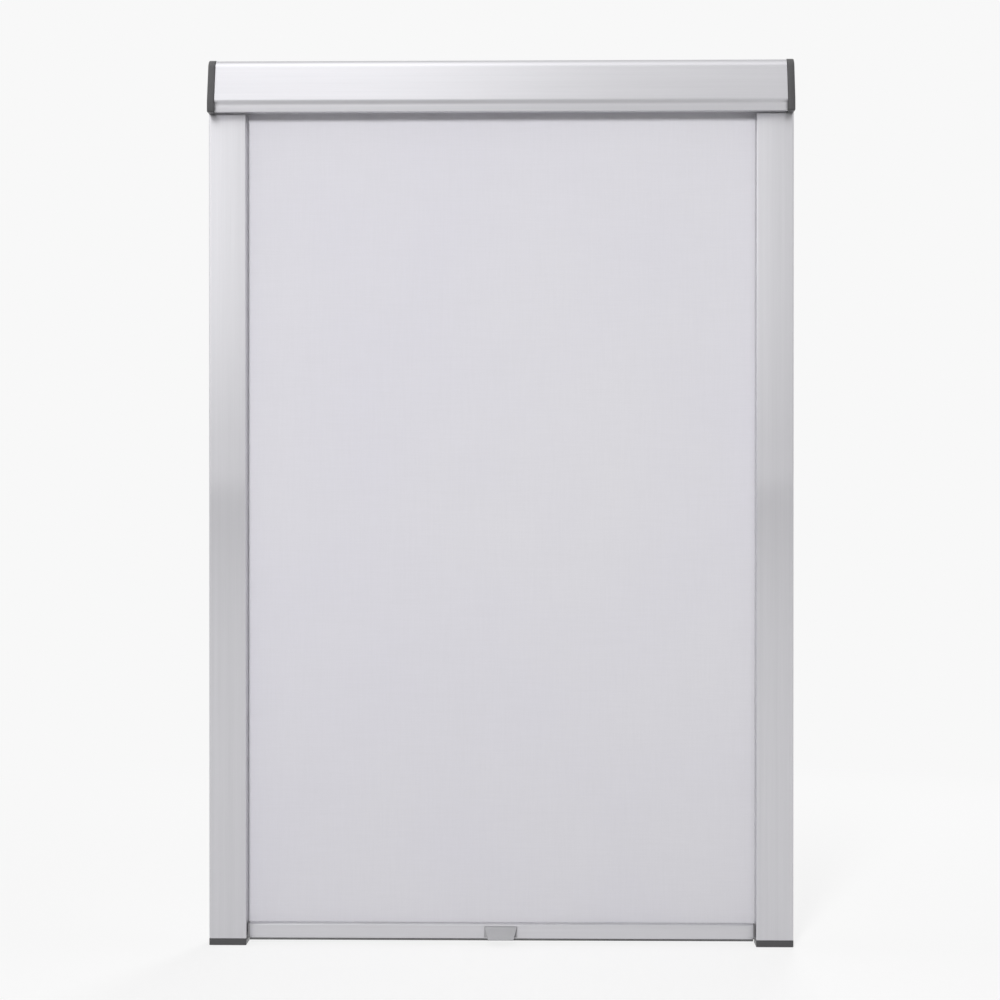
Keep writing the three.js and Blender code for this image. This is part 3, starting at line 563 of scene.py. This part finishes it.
def sealRubber():
    look = rubberLook
    material, tree, shader, place = startMaterial("sealRubber", look["roughness"])
    bloom = addNode(tree, "TexNoise", Vector=place, Scale=look["bloomScale"], Detail=5.0,
                    Roughness=0.65).outputs["Fac"]
    pits = useGroup(tree, mouldGrain, Vector=place, Grain=look["grain"])
    bloomed = span(tree, bloom, 0.0, look["bloomShare"], *look["bloomRange"])
    feed(tree, shader["Base Color"], mixColours(tree, bloomed, look["colour"], look["bloom"]))
    unevenRoughness(tree, shader, bloom, look["roughness"], look)
    raiseSurface(tree, shader, pits["Height"], look["depth"])
    return material


feltLook = {
    "colour": (0.05, 0.05, 0.054, 1),
    "fibre": (0.16, 0.16, 0.17, 1),
    "fibreScale": 2400.0,
    "fibreRange": (0.4, 0.75),
    "depth": 0.00012,
    "sheen": 0.3,
    "roughness": 0.95,
}


def brakeFelt():
    look = feltLook
    material, tree, shader, place = startMaterial("brakeFelt", look["roughness"])
    fibres = addNode(tree, "TexNoise", Vector=place, Scale=look["fibreScale"], Detail=6.0,
                     Roughness=0.8, Distortion=2.0).outputs["Fac"]
    feed(tree, shader["Base Color"], mixColours(tree, maskFrom(tree, fibres, look["fibreRange"]),
                                                look["colour"], look["fibre"]))
    shader["Sheen Weight"].default_value = look["sheen"]
    raiseSurface(tree, shader, fibres, look["depth"])
    return material


clothLook = {
    "colour": (0.668, 0.660, 0.692, 1),
    "lavender": (0.648, 0.638, 0.690, 1),
    # gap: a darker colour for the low parts of the weave, which is painted shade
    "gap": (0.56, 0.555, 0.585, 1),
    "coating": (0.74, 0.74, 0.73, 1),
    "threads": 2200.0,
    "weaveDepth": 0.000035,
    "driftScale": 2.6,
    "driftRange": (0.35, 0.7),
    "slubRange": (0.35, 0.65),
    "slubShare": 0.18,
    "gapShadeShare": 0.25,
    "backRange": (0.2, 0.6),
    "roughness": 0.78,
    "coatingRoughness": 0.55,
    "sheen": 0.08,
}


# The room side is a fine weave with painted shade in the gaps between its threads, the window side a smooth
# white coating.
def blackoutFabric():
    look = clothLook
    material, tree, shader, place = startMaterial("blackoutFabric", look["roughness"])
    weave = useGroup(tree, plainWeave, Vector=place, Threads=look["threads"])
    drift = addNode(tree, "TexNoise", Vector=place, Scale=look["driftScale"], Detail=3.0,
                    Roughness=0.55)
    drifted = maskFrom(tree, drift.outputs["Fac"], look["driftRange"])
    tint = mixColours(tree, drifted, look["colour"], look["lavender"])
    slub = calc(tree, "MULTIPLY", maskFrom(tree, weave["Thread"], look["slubRange"]), look["slubShare"])
    # painted shade: the low parts of the weave between the threads are darkened towards the gap colour; the
    # slub is the threads' own uneven tone
    gapShade = calc(tree, "MULTIPLY", calc(tree, "SUBTRACT", 1.0, weave["Height"]), look["gapShadeShare"])
    woven = mixColours(tree, calc(tree, "ADD", slub, gapShade), tint, look["gap"])
    facing = addNode(tree, "SeparateXYZ", Vector=addNode(tree, "NewGeometry").outputs["Normal"]).outputs
    coated = maskFrom(tree, facing["Y"], look["backRange"])
    feed(tree, shader["Base Color"], mixColours(tree, coated, woven, look["coating"]))
    feed(tree, shader["Roughness"], span(tree, coated, look["roughness"], look["coatingRoughness"]))
    shader["Sheen Weight"].default_value = look["sheen"]
    raised = calc(tree, "MULTIPLY", weave["Height"], calc(tree, "SUBTRACT", 1.0, coated))
    raiseSurface(tree, shader, raised, look["weaveDepth"])
    return material


metalAlongX = anodisedMetal("anodisedAlongX", "X")
metalAlongZ = anodisedMetal("anodisedAlongZ", "Z")
darkPlastic = mouldedPlastic("darkPlastic")
litDarkPlastic = mouldedPlastic("litDarkPlastic")
greyPlastic = mouldedPlastic("greyPlastic")
whitePlastic = mouldedPlastic("whitePlastic")
zincSteel = platedSteel("zincSteel")
springSteel = platedSteel("springSteel")
rubber = sealRubber()
felt = brakeFelt()
fabric = blackoutFabric()
print("materials built")


# Camera, at the photograph's view: almost level, a little to the right of the blind's middle

cameraValues = {
    "spot": (0.0466, -2.4378, -0.4215),
    "turn": 1.124,
    "tilt": -0.28,
    "lens": 82.8,
    "sensor": 36.0,
}


def setCamera():
    values = cameraValues
    angles = (math.radians(90 + values["tilt"]), 0, math.radians(values["turn"]))
    bpy.ops.object.camera_add(location=values["spot"], rotation=angles)
    camera = bpy.context.object
    camera.data.lens = values["lens"]
    camera.data.sensor_width = values["sensor"]
    bpy.context.scene.camera = camera


setCamera()


# Head: one extrusion, open below, with a rounded top, a leaning face and a cove that ends in a lip

headValues = {
    "topDepth": 0.030,
    "faceDepth": 0.042,
    "faceFoot": 0.0116,
    "coveDepth": 0.0026,
    "coveRise": 0.0080,
    "lipDepth": 0.0396,
    "returnDepth": 0.0102,
    "wall": 0.0013,
    "topRadius": 0.011,
    "backRadius": 0.0016,
    "coveEdgeRadius": 0.0025,
    "coveRadius": 0.004,
    "arcSteps": 12,
    "lipRadius": 0.0004,
    "lipSteps": 5,
    "lipReach": 0.00005,
    "cutEdge": 0.00025,
}

portValues = {
    "bore": 0.0018,
    "wall": 0.0013,
    "slot": 0.0018,
    "sink": 0.0005,
    "upperSetback": 0.007,
    "lowerSetback": 0.0052,
    "sides": 32,
}


# A tube along X or Z with a slot along it, which a screw cuts its thread into. The slot faces a given way.
def makeScrewPort(name, start, axis, length, slotWay):
    values = portValues
    outer = values["bore"] + values["wall"]
    turn = (0, math.pi / 2, 0) if axis == "X" else (0, 0, 0)
    bpy.ops.object.select_all(action="DESELECT")
    bpy.ops.mesh.primitive_circle_add(vertices=values["sides"], radius=outer, fill_type="NGON",
                                      location=start, rotation=turn)
    port = bpy.context.object
    port.name = name
    bpy.ops.object.transform_apply(location=True, rotation=True)
    enterEdit(port, "FACE")
    bpy.ops.mesh.select_all(action="SELECT")
    bpy.ops.mesh.inset(thickness=values["wall"], depth=0)
    bpy.ops.mesh.delete(type="FACE")
    along = Vector(slotWay)
    halfSlot = values["slot"] / 2

    def isSlot(place):
        reach = (place - start).dot(along)
        return reach > 0 and (place - start - along * reach).length < halfSlot

    selectWhere(port, "FACE", isSlot)
    bpy.ops.mesh.delete(type="FACE")
    leaveEdit()
    drawOut(port, axis, length)
    return port


def makeHead():
    values, ports = headValues, portValues
    low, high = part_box("head_profile")
    foot, top = low.z, high.z
    lip = high.y - values["lipDepth"]
    shell = drawSection("head_shell", [
        (high.y, foot, 0),
        (high.y, top, values["backRadius"]),
        (-values["topDepth"], top, values["topRadius"]),
        (-values["faceDepth"], foot + values["faceFoot"], values["coveEdgeRadius"]),
        (values["coveDepth"] - values["faceDepth"], foot + values["coveRise"], values["coveRadius"]),
        (lip, foot, 0),
        (lip + values["returnDepth"], foot, 0),
    ], "X", low.x, values["arcSteps"], closed=False)
    drawOut(shell, "X", high.x - low.x)
    useModifier(shell, "SOLIDIFY", thickness=values["wall"], offset=-1, use_even_offset=True)
    selectLongEdges(shell, lip, foot, values["lipReach"])
    roundSelected("EDGES", values["lipRadius"], values["lipSteps"])
    leaveEdit()
    rise = ports["bore"] + ports["wall"] - ports["sink"] + values["wall"]
    upper = Vector((low.x, ports["upperSetback"] - values["topDepth"], top - rise))
    lower = Vector((low.x, lip + ports["lowerSetback"], foot + rise))
    joinInto(shell, makeScrewPort("upper_port", upper, "X", high.x - low.x, (0, 0, -1)),
             makeScrewPort("lower_port", lower, "X", high.x - low.x, (0, 0, 1)))
    softenEdges(shell, values["cutEdge"], sharpAngle=meshValues["cutAngle"])
    dress(shell, "frame", "anodised_aluminium", metalAlongX, "head_profile")


capValues = {"edge": 0.00035, "steps": 3}


def makeCaps():
    for side in ("left", "right"):
        cap = softCopy(f"{side}_end_cap", f"{side}_cap_moulding", capValues["edge"], capValues["steps"])
        dress(cap, "frame", "dark_plastic", darkPlastic, f"{side}_end_cap")


makeHead()
makeCaps()
print("head and caps made")


# Rails: the track for shoe and cloth is a chamber with a slot in the face that looks at the other rail.
# Beside it are two closed chambers, and a port for the foot's screw in the larger one.

railValues = {
    "wall": 0.0014,
    "outerRadius": 0.002,
    "innerRadius": 0.001,
    "trackWidth": 0.012,
    "slotWidth": 0.005,
    "clothPlane": 0.008,
    "chamberRadius": 0.0008,
    "chamberSteps": 3,
    "overrun": 0.001,
    "cutEdge": 0.0002,
}


def cutChamber(rail, left, right, front, back, low, high):
    values = railValues
    radius, overrun = values["chamberRadius"], values["overrun"]
    cutter = drawSection("chamber", [
        (left, front, radius),
        (right, front, radius),
        (right, back, radius),
        (left, back, radius),
    ], "Z", low - overrun, values["chamberSteps"])
    drawOut(cutter, "Z", high - low + 2 * overrun)
    cutAway(rail, cutter)


def makeRails():
    values, ports = railValues, portValues
    low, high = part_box("left_rail")
    wall, small = values["wall"], values["innerRadius"]
    slotFront = -values["clothPlane"] - values["slotWidth"] / 2
    slotBack = -values["clothPlane"] + values["slotWidth"] / 2
    trackHalf = values["clothPlane"] - wall
    trackFront = -values["clothPlane"] - trackHalf
    trackBack = -values["clothPlane"] + trackHalf
    inner, outer = high.x - wall, high.x - wall - values["trackWidth"]
    rail = drawSection("left_rail_extrusion", [
        (low.x, high.y, small),
        (low.x, low.y, values["outerRadius"]),
        (high.x, low.y, small),
        (high.x, slotFront, 0),
        (inner, slotFront, 0),
        (inner, trackFront, 0),
        (outer, trackFront, 0),
        (outer, trackBack, 0),
        (inner, trackBack, 0),
        (inner, slotBack, 0),
        (high.x, slotBack, 0),
        (high.x, high.y, small),
    ], "Z", low.z)
    drawOut(rail, "Z", high.z - low.z)
    cutChamber(rail, low.x + wall, outer - wall, low.y + wall, high.y - wall, low.z, high.z)
    cutChamber(rail, outer, inner, low.y + wall, trackFront - wall, low.z, high.z)
    reach = ports["bore"] + ports["wall"] - ports["sink"]
    spot = Vector((outer - wall - reach, low.y + wall + reach, low.z))
    joinInto(rail, makeScrewPort("rail_port", spot, "Z", high.z - low.z, (-1, 0, 0)))
    softenEdges(rail, values["cutEdge"], sharpAngle=meshValues["cutAngle"])
    twin = rightTwin(rail, "right_rail_extrusion")
    dress(rail, "frame", "anodised_aluminium", metalAlongZ, "left_rail")
    dress(twin, "frame", "anodised_aluminium", metalAlongZ, "right_rail")


footValues = {"edge": 0.00035, "steps": 3}


def makeFeet():
    for side in ("left", "right"):
        foot = softCopy(f"{side}_rail_foot", f"{side}_foot_moulding", footValues["edge"], footValues["steps"])
        dress(foot, "frame", "dark_plastic", darkPlastic, f"{side}_rail_foot")


makeRails()
makeFeet()
print("rails and feet made")


# Cloth: a taut sheet between roll and bar, with the faint waves that winding leaves

clothValues = {
    "thickness": 0.0003,
    "columns": 80,
    "rows": 120,
    "wave": 0.00018,
    "waveAcross": 9.0,
    "waveSlant": 2.0,
    "waveAlong": 5.0,
}


def makeCloth():
    values = clothValues
    low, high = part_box("blackout_cloth")
    middle = (low + high) / 2
    width, length = high.x - low.x, high.z - low.z
    bpy.ops.object.select_all(action="DESELECT")
    bpy.ops.mesh.primitive_grid_add(x_subdivisions=values["columns"], y_subdivisions=values["rows"], size=1,
                                    location=(0, 0, 0), rotation=(0, 0, 0))
    cloth = bpy.context.object
    cloth.name = "cloth_sheet"
    enterEdit(cloth)
    bpy.ops.mesh.select_all(action="SELECT")
    bpy.ops.transform.resize(value=(width, length, 1), center_override=(0, 0, 0))
    leaveEdit()
    for vertex in cloth.data.vertices:
        across, down = vertex.co.x / width, vertex.co.y / length
        calm = math.cos(math.pi * across) * math.cos(math.pi * down)
        wave = (math.sin(values["waveAcross"] * across + values["waveSlant"] * down)
                * math.cos(values["waveAlong"] * down - across))
        vertex.co = Vector((vertex.co.x, middle.y + values["wave"] * wave * calm, middle.z + vertex.co.y))
    turnFacesOut(cloth)
    useModifier(cloth, "SOLIDIFY", thickness=values["thickness"], offset=0)
    smoothShading(cloth, meshValues["clothAngle"])
    dress(cloth, "frame", "blackout_fabric", fabric, "blackout_cloth")
    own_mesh(cloth)


makeCloth()


# Roll: the turns left on the tube, from the channel outwards

rollValues = {"turns": 2.25, "thickness": 0.0003, "stepsPerTurn": 40}


def makeRoll():
    values = rollValues
    low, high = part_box("rolled_cloth")
    tubeLow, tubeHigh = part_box("roller_tube")
    axisY, axisZ = (tubeLow.y + tubeHigh.y) / 2, (tubeLow.z + tubeHigh.z) / 2
    inner = (tubeHigh.z - tubeLow.z) / 2 + values["thickness"]
    outer = high.y - axisY - values["thickness"]
    steps = math.ceil(values["turns"] * values["stepsPerTurn"])
    bpy.ops.object.select_all(action="DESELECT")
    bpy.ops.mesh.primitive_grid_add(x_subdivisions=2, y_subdivisions=steps, size=1)
    roll = bpy.context.object
    roll.name = "cloth_roll"
    for vertex in roll.data.vertices:
        share = vertex.co.y + 0.5
        angle = 2 * math.pi * values["turns"] * (1 - share)
        radius = inner + (outer - inner) * share
        vertex.co = Vector((vertex.co.x * (high.x - low.x), axisY + radius * math.cos(angle),
                            axisZ + radius * math.sin(angle)))
    turnFacesOut(roll)
    useModifier(roll, "SOLIDIFY", thickness=values["thickness"], offset=0)
    smoothShading(roll, meshValues["clothAngle"])
    dress(roll, "roller", "blackout_fabric", fabric, "rolled_cloth")


makeRoll()
print("cloth made")


# Bottom bar: a hollow extrusion with a mouth for the cloth on top and a notch for the handle

barValues = {
    "back": 0.004,
    "wall": 0.0013,
    "topRadius": 0.0017,
    "footRadius": 0.0012,
    "backRadius": 0.0008,
    "mouth": 0.0008,
    "cutEdge": 0.0002,
    "notchHalf": 0.01715,
    "notchMargin": 0.0027,
    "overrun": 0.002,
}


def makeBar():
    values = barValues
    low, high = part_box("bottom_bar")
    wall, half = values["wall"], values["mouth"] / 2
    clothPlane = high.y - values["back"]
    bar = drawSection("bar_extrusion", [
        (clothPlane - half, high.z, 0),
        (low.y, high.z, values["topRadius"]),
        (low.y, low.z, values["footRadius"]),
        (high.y, low.z, values["backRadius"]),
        (high.y, high.z, values["backRadius"]),
        (clothPlane + half, high.z, 0),
        (clothPlane + half, high.z - wall, 0),
        (high.y - wall, high.z - wall, 0),
        (high.y - wall, low.z + wall, 0),
        (low.y + wall, low.z + wall, 0),
        (low.y + wall, high.z - wall, 0),
        (clothPlane - half, high.z - wall, 0),
    ], "X", low.x)
    drawOut(bar, "X", high.x - low.x)
    reach = values["overrun"]
    notchTop = high.z - values["notchMargin"]
    notch = Vector((0, low.y + (wall - reach) / 2, (notchTop + low.z - reach) / 2))
    bpy.ops.object.select_all(action="DESELECT")
    bpy.ops.mesh.primitive_cube_add(size=1, location=notch, scale=(2 * values["notchHalf"], wall + reach,
                                                                   notchTop - low.z + reach))
    cutAway(bar, bpy.context.object)
    softenEdges(bar, values["cutEdge"], sharpAngle=meshValues["cutAngle"])
    dress(bar, "bar", "anodised_aluminium", metalAlongX, "bottom_bar")


makeBar()


# Seal under the bar

sealValues = {"height": 0.002, "radius": 0.0009, "cutEdge": 0.00015}


def makeSeal():
    low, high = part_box("bar_seal")
    foot = low.z + sealValues["height"]
    seal = drawSection("seal_strip", [
        (low.y, low.z, sealValues["radius"]),
        (high.y, low.z, sealValues["radius"]),
        (high.y, foot, 0),
        (low.y, foot, 0),
    ], "X", low.x)
    drawOut(seal, "X", high.x - low.x)
    softenEdges(seal, sealValues["cutEdge"], sharpAngle=meshValues["cutAngle"])
    dress(seal, "bar", "seal_rubber", rubber, "bar_seal")


makeSeal()


# Pull handle: its grip ends below in a rounded lip

handleValues = {
    "footRadius": 0.0014,
    "footSteps": 5,
    "footReach": 0.0001,
    "edge": 0.0003,
    "edgeSteps": 3,
    "sharpAngle": 34,
}


def makeHandle():
    values = handleValues
    low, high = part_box("pull_handle")
    handle = mergedCopy("pull_handle", "handle_moulding")
    selectLongEdges(handle, low.y, low.z, values["footReach"])
    roundSelected("EDGES", values["footRadius"], values["footSteps"])
    leaveEdit()
    softenEdges(handle, values["edge"], values["edgeSteps"], values["sharpAngle"])
    dress(handle, "bar", "grey_plastic", greyPlastic, "pull_handle")


makeHandle()


# Gliders: the bar's end plates with their shoes

gliderValues = {"edge": 0.0002}


def makeGliders():
    for side in ("left", "right"):
        glider = softCopy(f"{side}_glider", f"{side}_glider_moulding", gliderValues["edge"])
        # the gliders keep the dark_plastic slot but take its lighter copy, which is painted light for their
        # shaded place
        dress(glider, "bar", "dark_plastic", litDarkPlastic, f"{side}_glider")


makeGliders()
print("bar made")


# Screws and the parts inside, which keep their own form

screwValues = {"endings": ("cap_screw_upper", "cap_screw_lower", "foot_screw"), "edge": 0.00012}


def finishInside():
    for name in [name for name in nodes if name.endswith(screwValues["endings"])]:
        screw = softCopy(name, name.replace("screw", "fastener"), screwValues["edge"])
        dress(screw, "frame", "zinc_steel", zincSteel, name)
    looks = {
        "roller_tube": metalAlongX,
        "roller_spline": whitePlastic,
        "idler_plug": whitePlastic,
        "drive_plug": whitePlastic,
        "idler_pin": zincSteel,
        "spring_shaft": zincSteel,
        "spring_anchor": whitePlastic,
        "torsion_spring": springSteel,
        "bar_spline": whitePlastic,
        "left_brake_pad": felt,
        "right_brake_pad": felt,
        "left_brake_spring": springSteel,
        "right_brake_spring": springSteel,
    }
    for name, material in looks.items():
        nodes[name].data.materials.clear()
        nodes[name].data.materials.append(material)


finishInside()
print("inside dressed")


# Studio: a pale floor and a white backdrop, two lamps, and soft lights all round that only mirrors see

# Brightnesses, and between which shares of a direction's X, Y or Z each light grows to its full strength
roomValues = {
    "white": 0.939,
    "fill": 0.28,
    "base": 0.69,
    "frontRange": (0.55, -0.25),
    "skirt": 0.16,
    "skirtRange": (0.02, 0.13),
    "skirtEndRange": (0.50, 0.24),
    "panel": 0.91,
    "panelRange": (0.02, 0.36),
    "panelRight": 0.18,
    "panelLeftRange": (0.14, -0.20),
    "ceiling": 0.75,
    "ceilingRange": (0.62, 0.88),
    "lowGlow": 0.38,
    "lowGlowRange": (-0.04, -0.22),
}


# Maps a range of values smoothly onto low to high.
def ease(tree, value, source, low=0.0, high=1.0):
    node = addNode(tree, "MapRange", {"interpolation_type": "SMOOTHSTEP"}, Value=value, From_Min=source[0],
                   From_Max=source[1], To_Min=low, To_Max=high)
    return node.outputs["Result"]


def seenDirectly(tree):
    rays = addNode(tree, "LightPath").outputs
    mirrored = calc(tree, "MAXIMUM", rays["Is Glossy Ray"], rays["Is Transmission Ray"])
    return calc(tree, "MAXIMUM", rays["Is Camera Ray"], mirrored)


# The camera sees plain white, and so do mirrors that face the back. Mirrors that face the front see a greyer
# room with a bright panel at the upper left, a faint skirt below it, a bright ceiling and a glow low down.
def makeRoom():
    values = roomValues
    world = bpy.data.worlds.new("room")
    bpy.context.scene.world = world
    world.use_nodes = True
    tree = world.node_tree
    tree.nodes.clear()
    way = addNode(tree, "SeparateXYZ", Vector=addNode(tree, "TexCoord").outputs["Generated"]).outputs
    mirrored = calc(tree, "SUBTRACT", 1.0, addNode(tree, "LightPath").outputs["Is Camera Ray"])
    inFront = calc(tree, "MULTIPLY", mirrored, ease(tree, way["Y"], values["frontRange"]))
    leftShare = ease(tree, way["X"], values["panelLeftRange"], values["panelRight"], 1.0)
    panel = calc(tree, "MULTIPLY", leftShare,
                 ease(tree, way["Z"], values["panelRange"], 0.0, values["panel"]))
    skirt = calc(tree, "MULTIPLY", ease(tree, way["Z"], values["skirtRange"], 0.0, values["skirt"]),
                 ease(tree, way["Z"], values["skirtEndRange"]))
    ceiling = ease(tree, way["Z"], values["ceilingRange"], 0.0, values["ceiling"])
    lowGlow = ease(tree, way["Z"], values["lowGlowRange"], 0.0, values["lowGlow"])
    bright = calc(tree, "ADD", calc(tree, "ADD", panel, ceiling), calc(tree, "ADD", skirt, lowGlow))
    change = calc(tree, "ADD", bright, values["base"] - values["white"])
    seen = calc(tree, "ADD", values["white"], calc(tree, "MULTIPLY", inFront, change))
    fill = addNode(tree, "Background", Color=(1, 1, 1, 1), Strength=values["fill"])
    plain = addNode(tree, "Background", Color=(1, 1, 1, 1), Strength=seen)
    mix = addNode(tree, "MixShader", Fac=seenDirectly(tree))
    tree.links.new(fill.outputs[0], mix.inputs[1])
    tree.links.new(plain.outputs[0], mix.inputs[2])
    tree.links.new(mix.outputs[0], addNode(tree, "OutputWorld").inputs["Surface"])


floorValues = {
    "radius": 7.0,
    "sides": 96,
    "gap": 0.0002,
    "colour": (0.75, 0.75, 0.75, 1),
    "level": 0.55,
    "shadowShare": 0.35,
    "shadowReach": (0.3, 1.6),
}


# Near the object the floor takes a share of its shadow, and its unshadowed part is as white as the backdrop.
def makeFloor():
    values = floorValues
    bpy.ops.object.select_all(action="DESELECT")
    bpy.ops.mesh.primitive_circle_add(vertices=values["sides"], radius=values["radius"], fill_type="NGON",
                                      location=(0, 0, cadLow.z - values["gap"]))
    floor = bpy.context.object
    floor.name = "floor"
    material = bpy.data.materials.new("paleFloor")
    material.use_nodes = True
    tree = material.node_tree
    tree.nodes.clear()
    place = addNode(tree, "TexCoord").outputs["Object"]
    away = addNode(tree, "VectorMath", {"operation": "LENGTH"}, Vector=place).outputs["Value"]
    near = span(tree, away, values["shadowShare"], 0.0, *values["shadowReach"])
    far = calc(tree, "SUBTRACT", 1.0, near)
    missing = calc(tree, "SUBTRACT", roomValues["white"], calc(tree, "MULTIPLY", near, values["level"]))
    matt = addNode(tree, "BsdfDiffuse", Color=values["colour"])
    plain = addNode(tree, "Emission", Color=(1, 1, 1, 1), Strength=calc(tree, "DIVIDE", missing, far))
    mix = addNode(tree, "MixShader", Fac=calc(tree, "MULTIPLY", seenDirectly(tree), far))
    tree.links.new(matt.outputs[0], mix.inputs[1])
    tree.links.new(plain.outputs[0], mix.inputs[2])
    tree.links.new(mix.outputs[0], addNode(tree, "OutputMaterial").inputs["Surface"])
    floor.data.materials.append(material)


cardValues = {"size": (1.1, 0.60), "spot": (0, -0.44, -0.40), "level": 0.58}


# A level grey card in front of the object, which only mirrors see. It shades the head's cove.
def makeCard():
    values = cardValues
    bpy.ops.object.select_all(action="DESELECT")
    bpy.ops.mesh.primitive_plane_add(size=1, location=values["spot"])
    card = bpy.context.object
    card.name = "card"
    card.scale = (values["size"][0], values["size"][1], 1)
    for ray in ("camera", "diffuse", "transmission", "volume_scatter", "shadow"):
        setattr(card, "visible_" + ray, False)
    material = bpy.data.materials.new("greyCard")
    material.use_nodes = True
    tree = material.node_tree
    tree.nodes.clear()
    plain = addNode(tree, "Emission", Color=(1, 1, 1, 1), Strength=values["level"])
    tree.links.new(plain.outputs[0], addNode(tree, "OutputMaterial").inputs["Surface"])
    card.data.materials.append(material)


lampValues = {
    "front": {"spot": (-0.40, -2.95, 0.42), "size": 0.45, "power": 66.0},
    "back": {"spot": (0.65, 2.95, 0.35), "size": 1.0, "power": 55.0},
}
lampAim = (0, 0, -0.45)         # the middle of the blind


def makeLamps():
    for name, values in lampValues.items():
        bpy.ops.object.light_add(type="AREA", location=values["spot"])
        lamp = bpy.context.object
        lamp.name = name
        lamp.data.shape = "DISK"
        lamp.data.size = values["size"]
        lamp.data.energy = values["power"]
        lamp.visible_glossy = False
        way = Vector(lampAim) - Vector(values["spot"])
        lamp.rotation_euler = way.to_track_quat("-Z", "Y").to_euler()


makeRoom()
makeFloor()
makeCard()
makeLamps()
bpy.context.scene.view_settings.view_transform = "Standard"
print("studio lit")
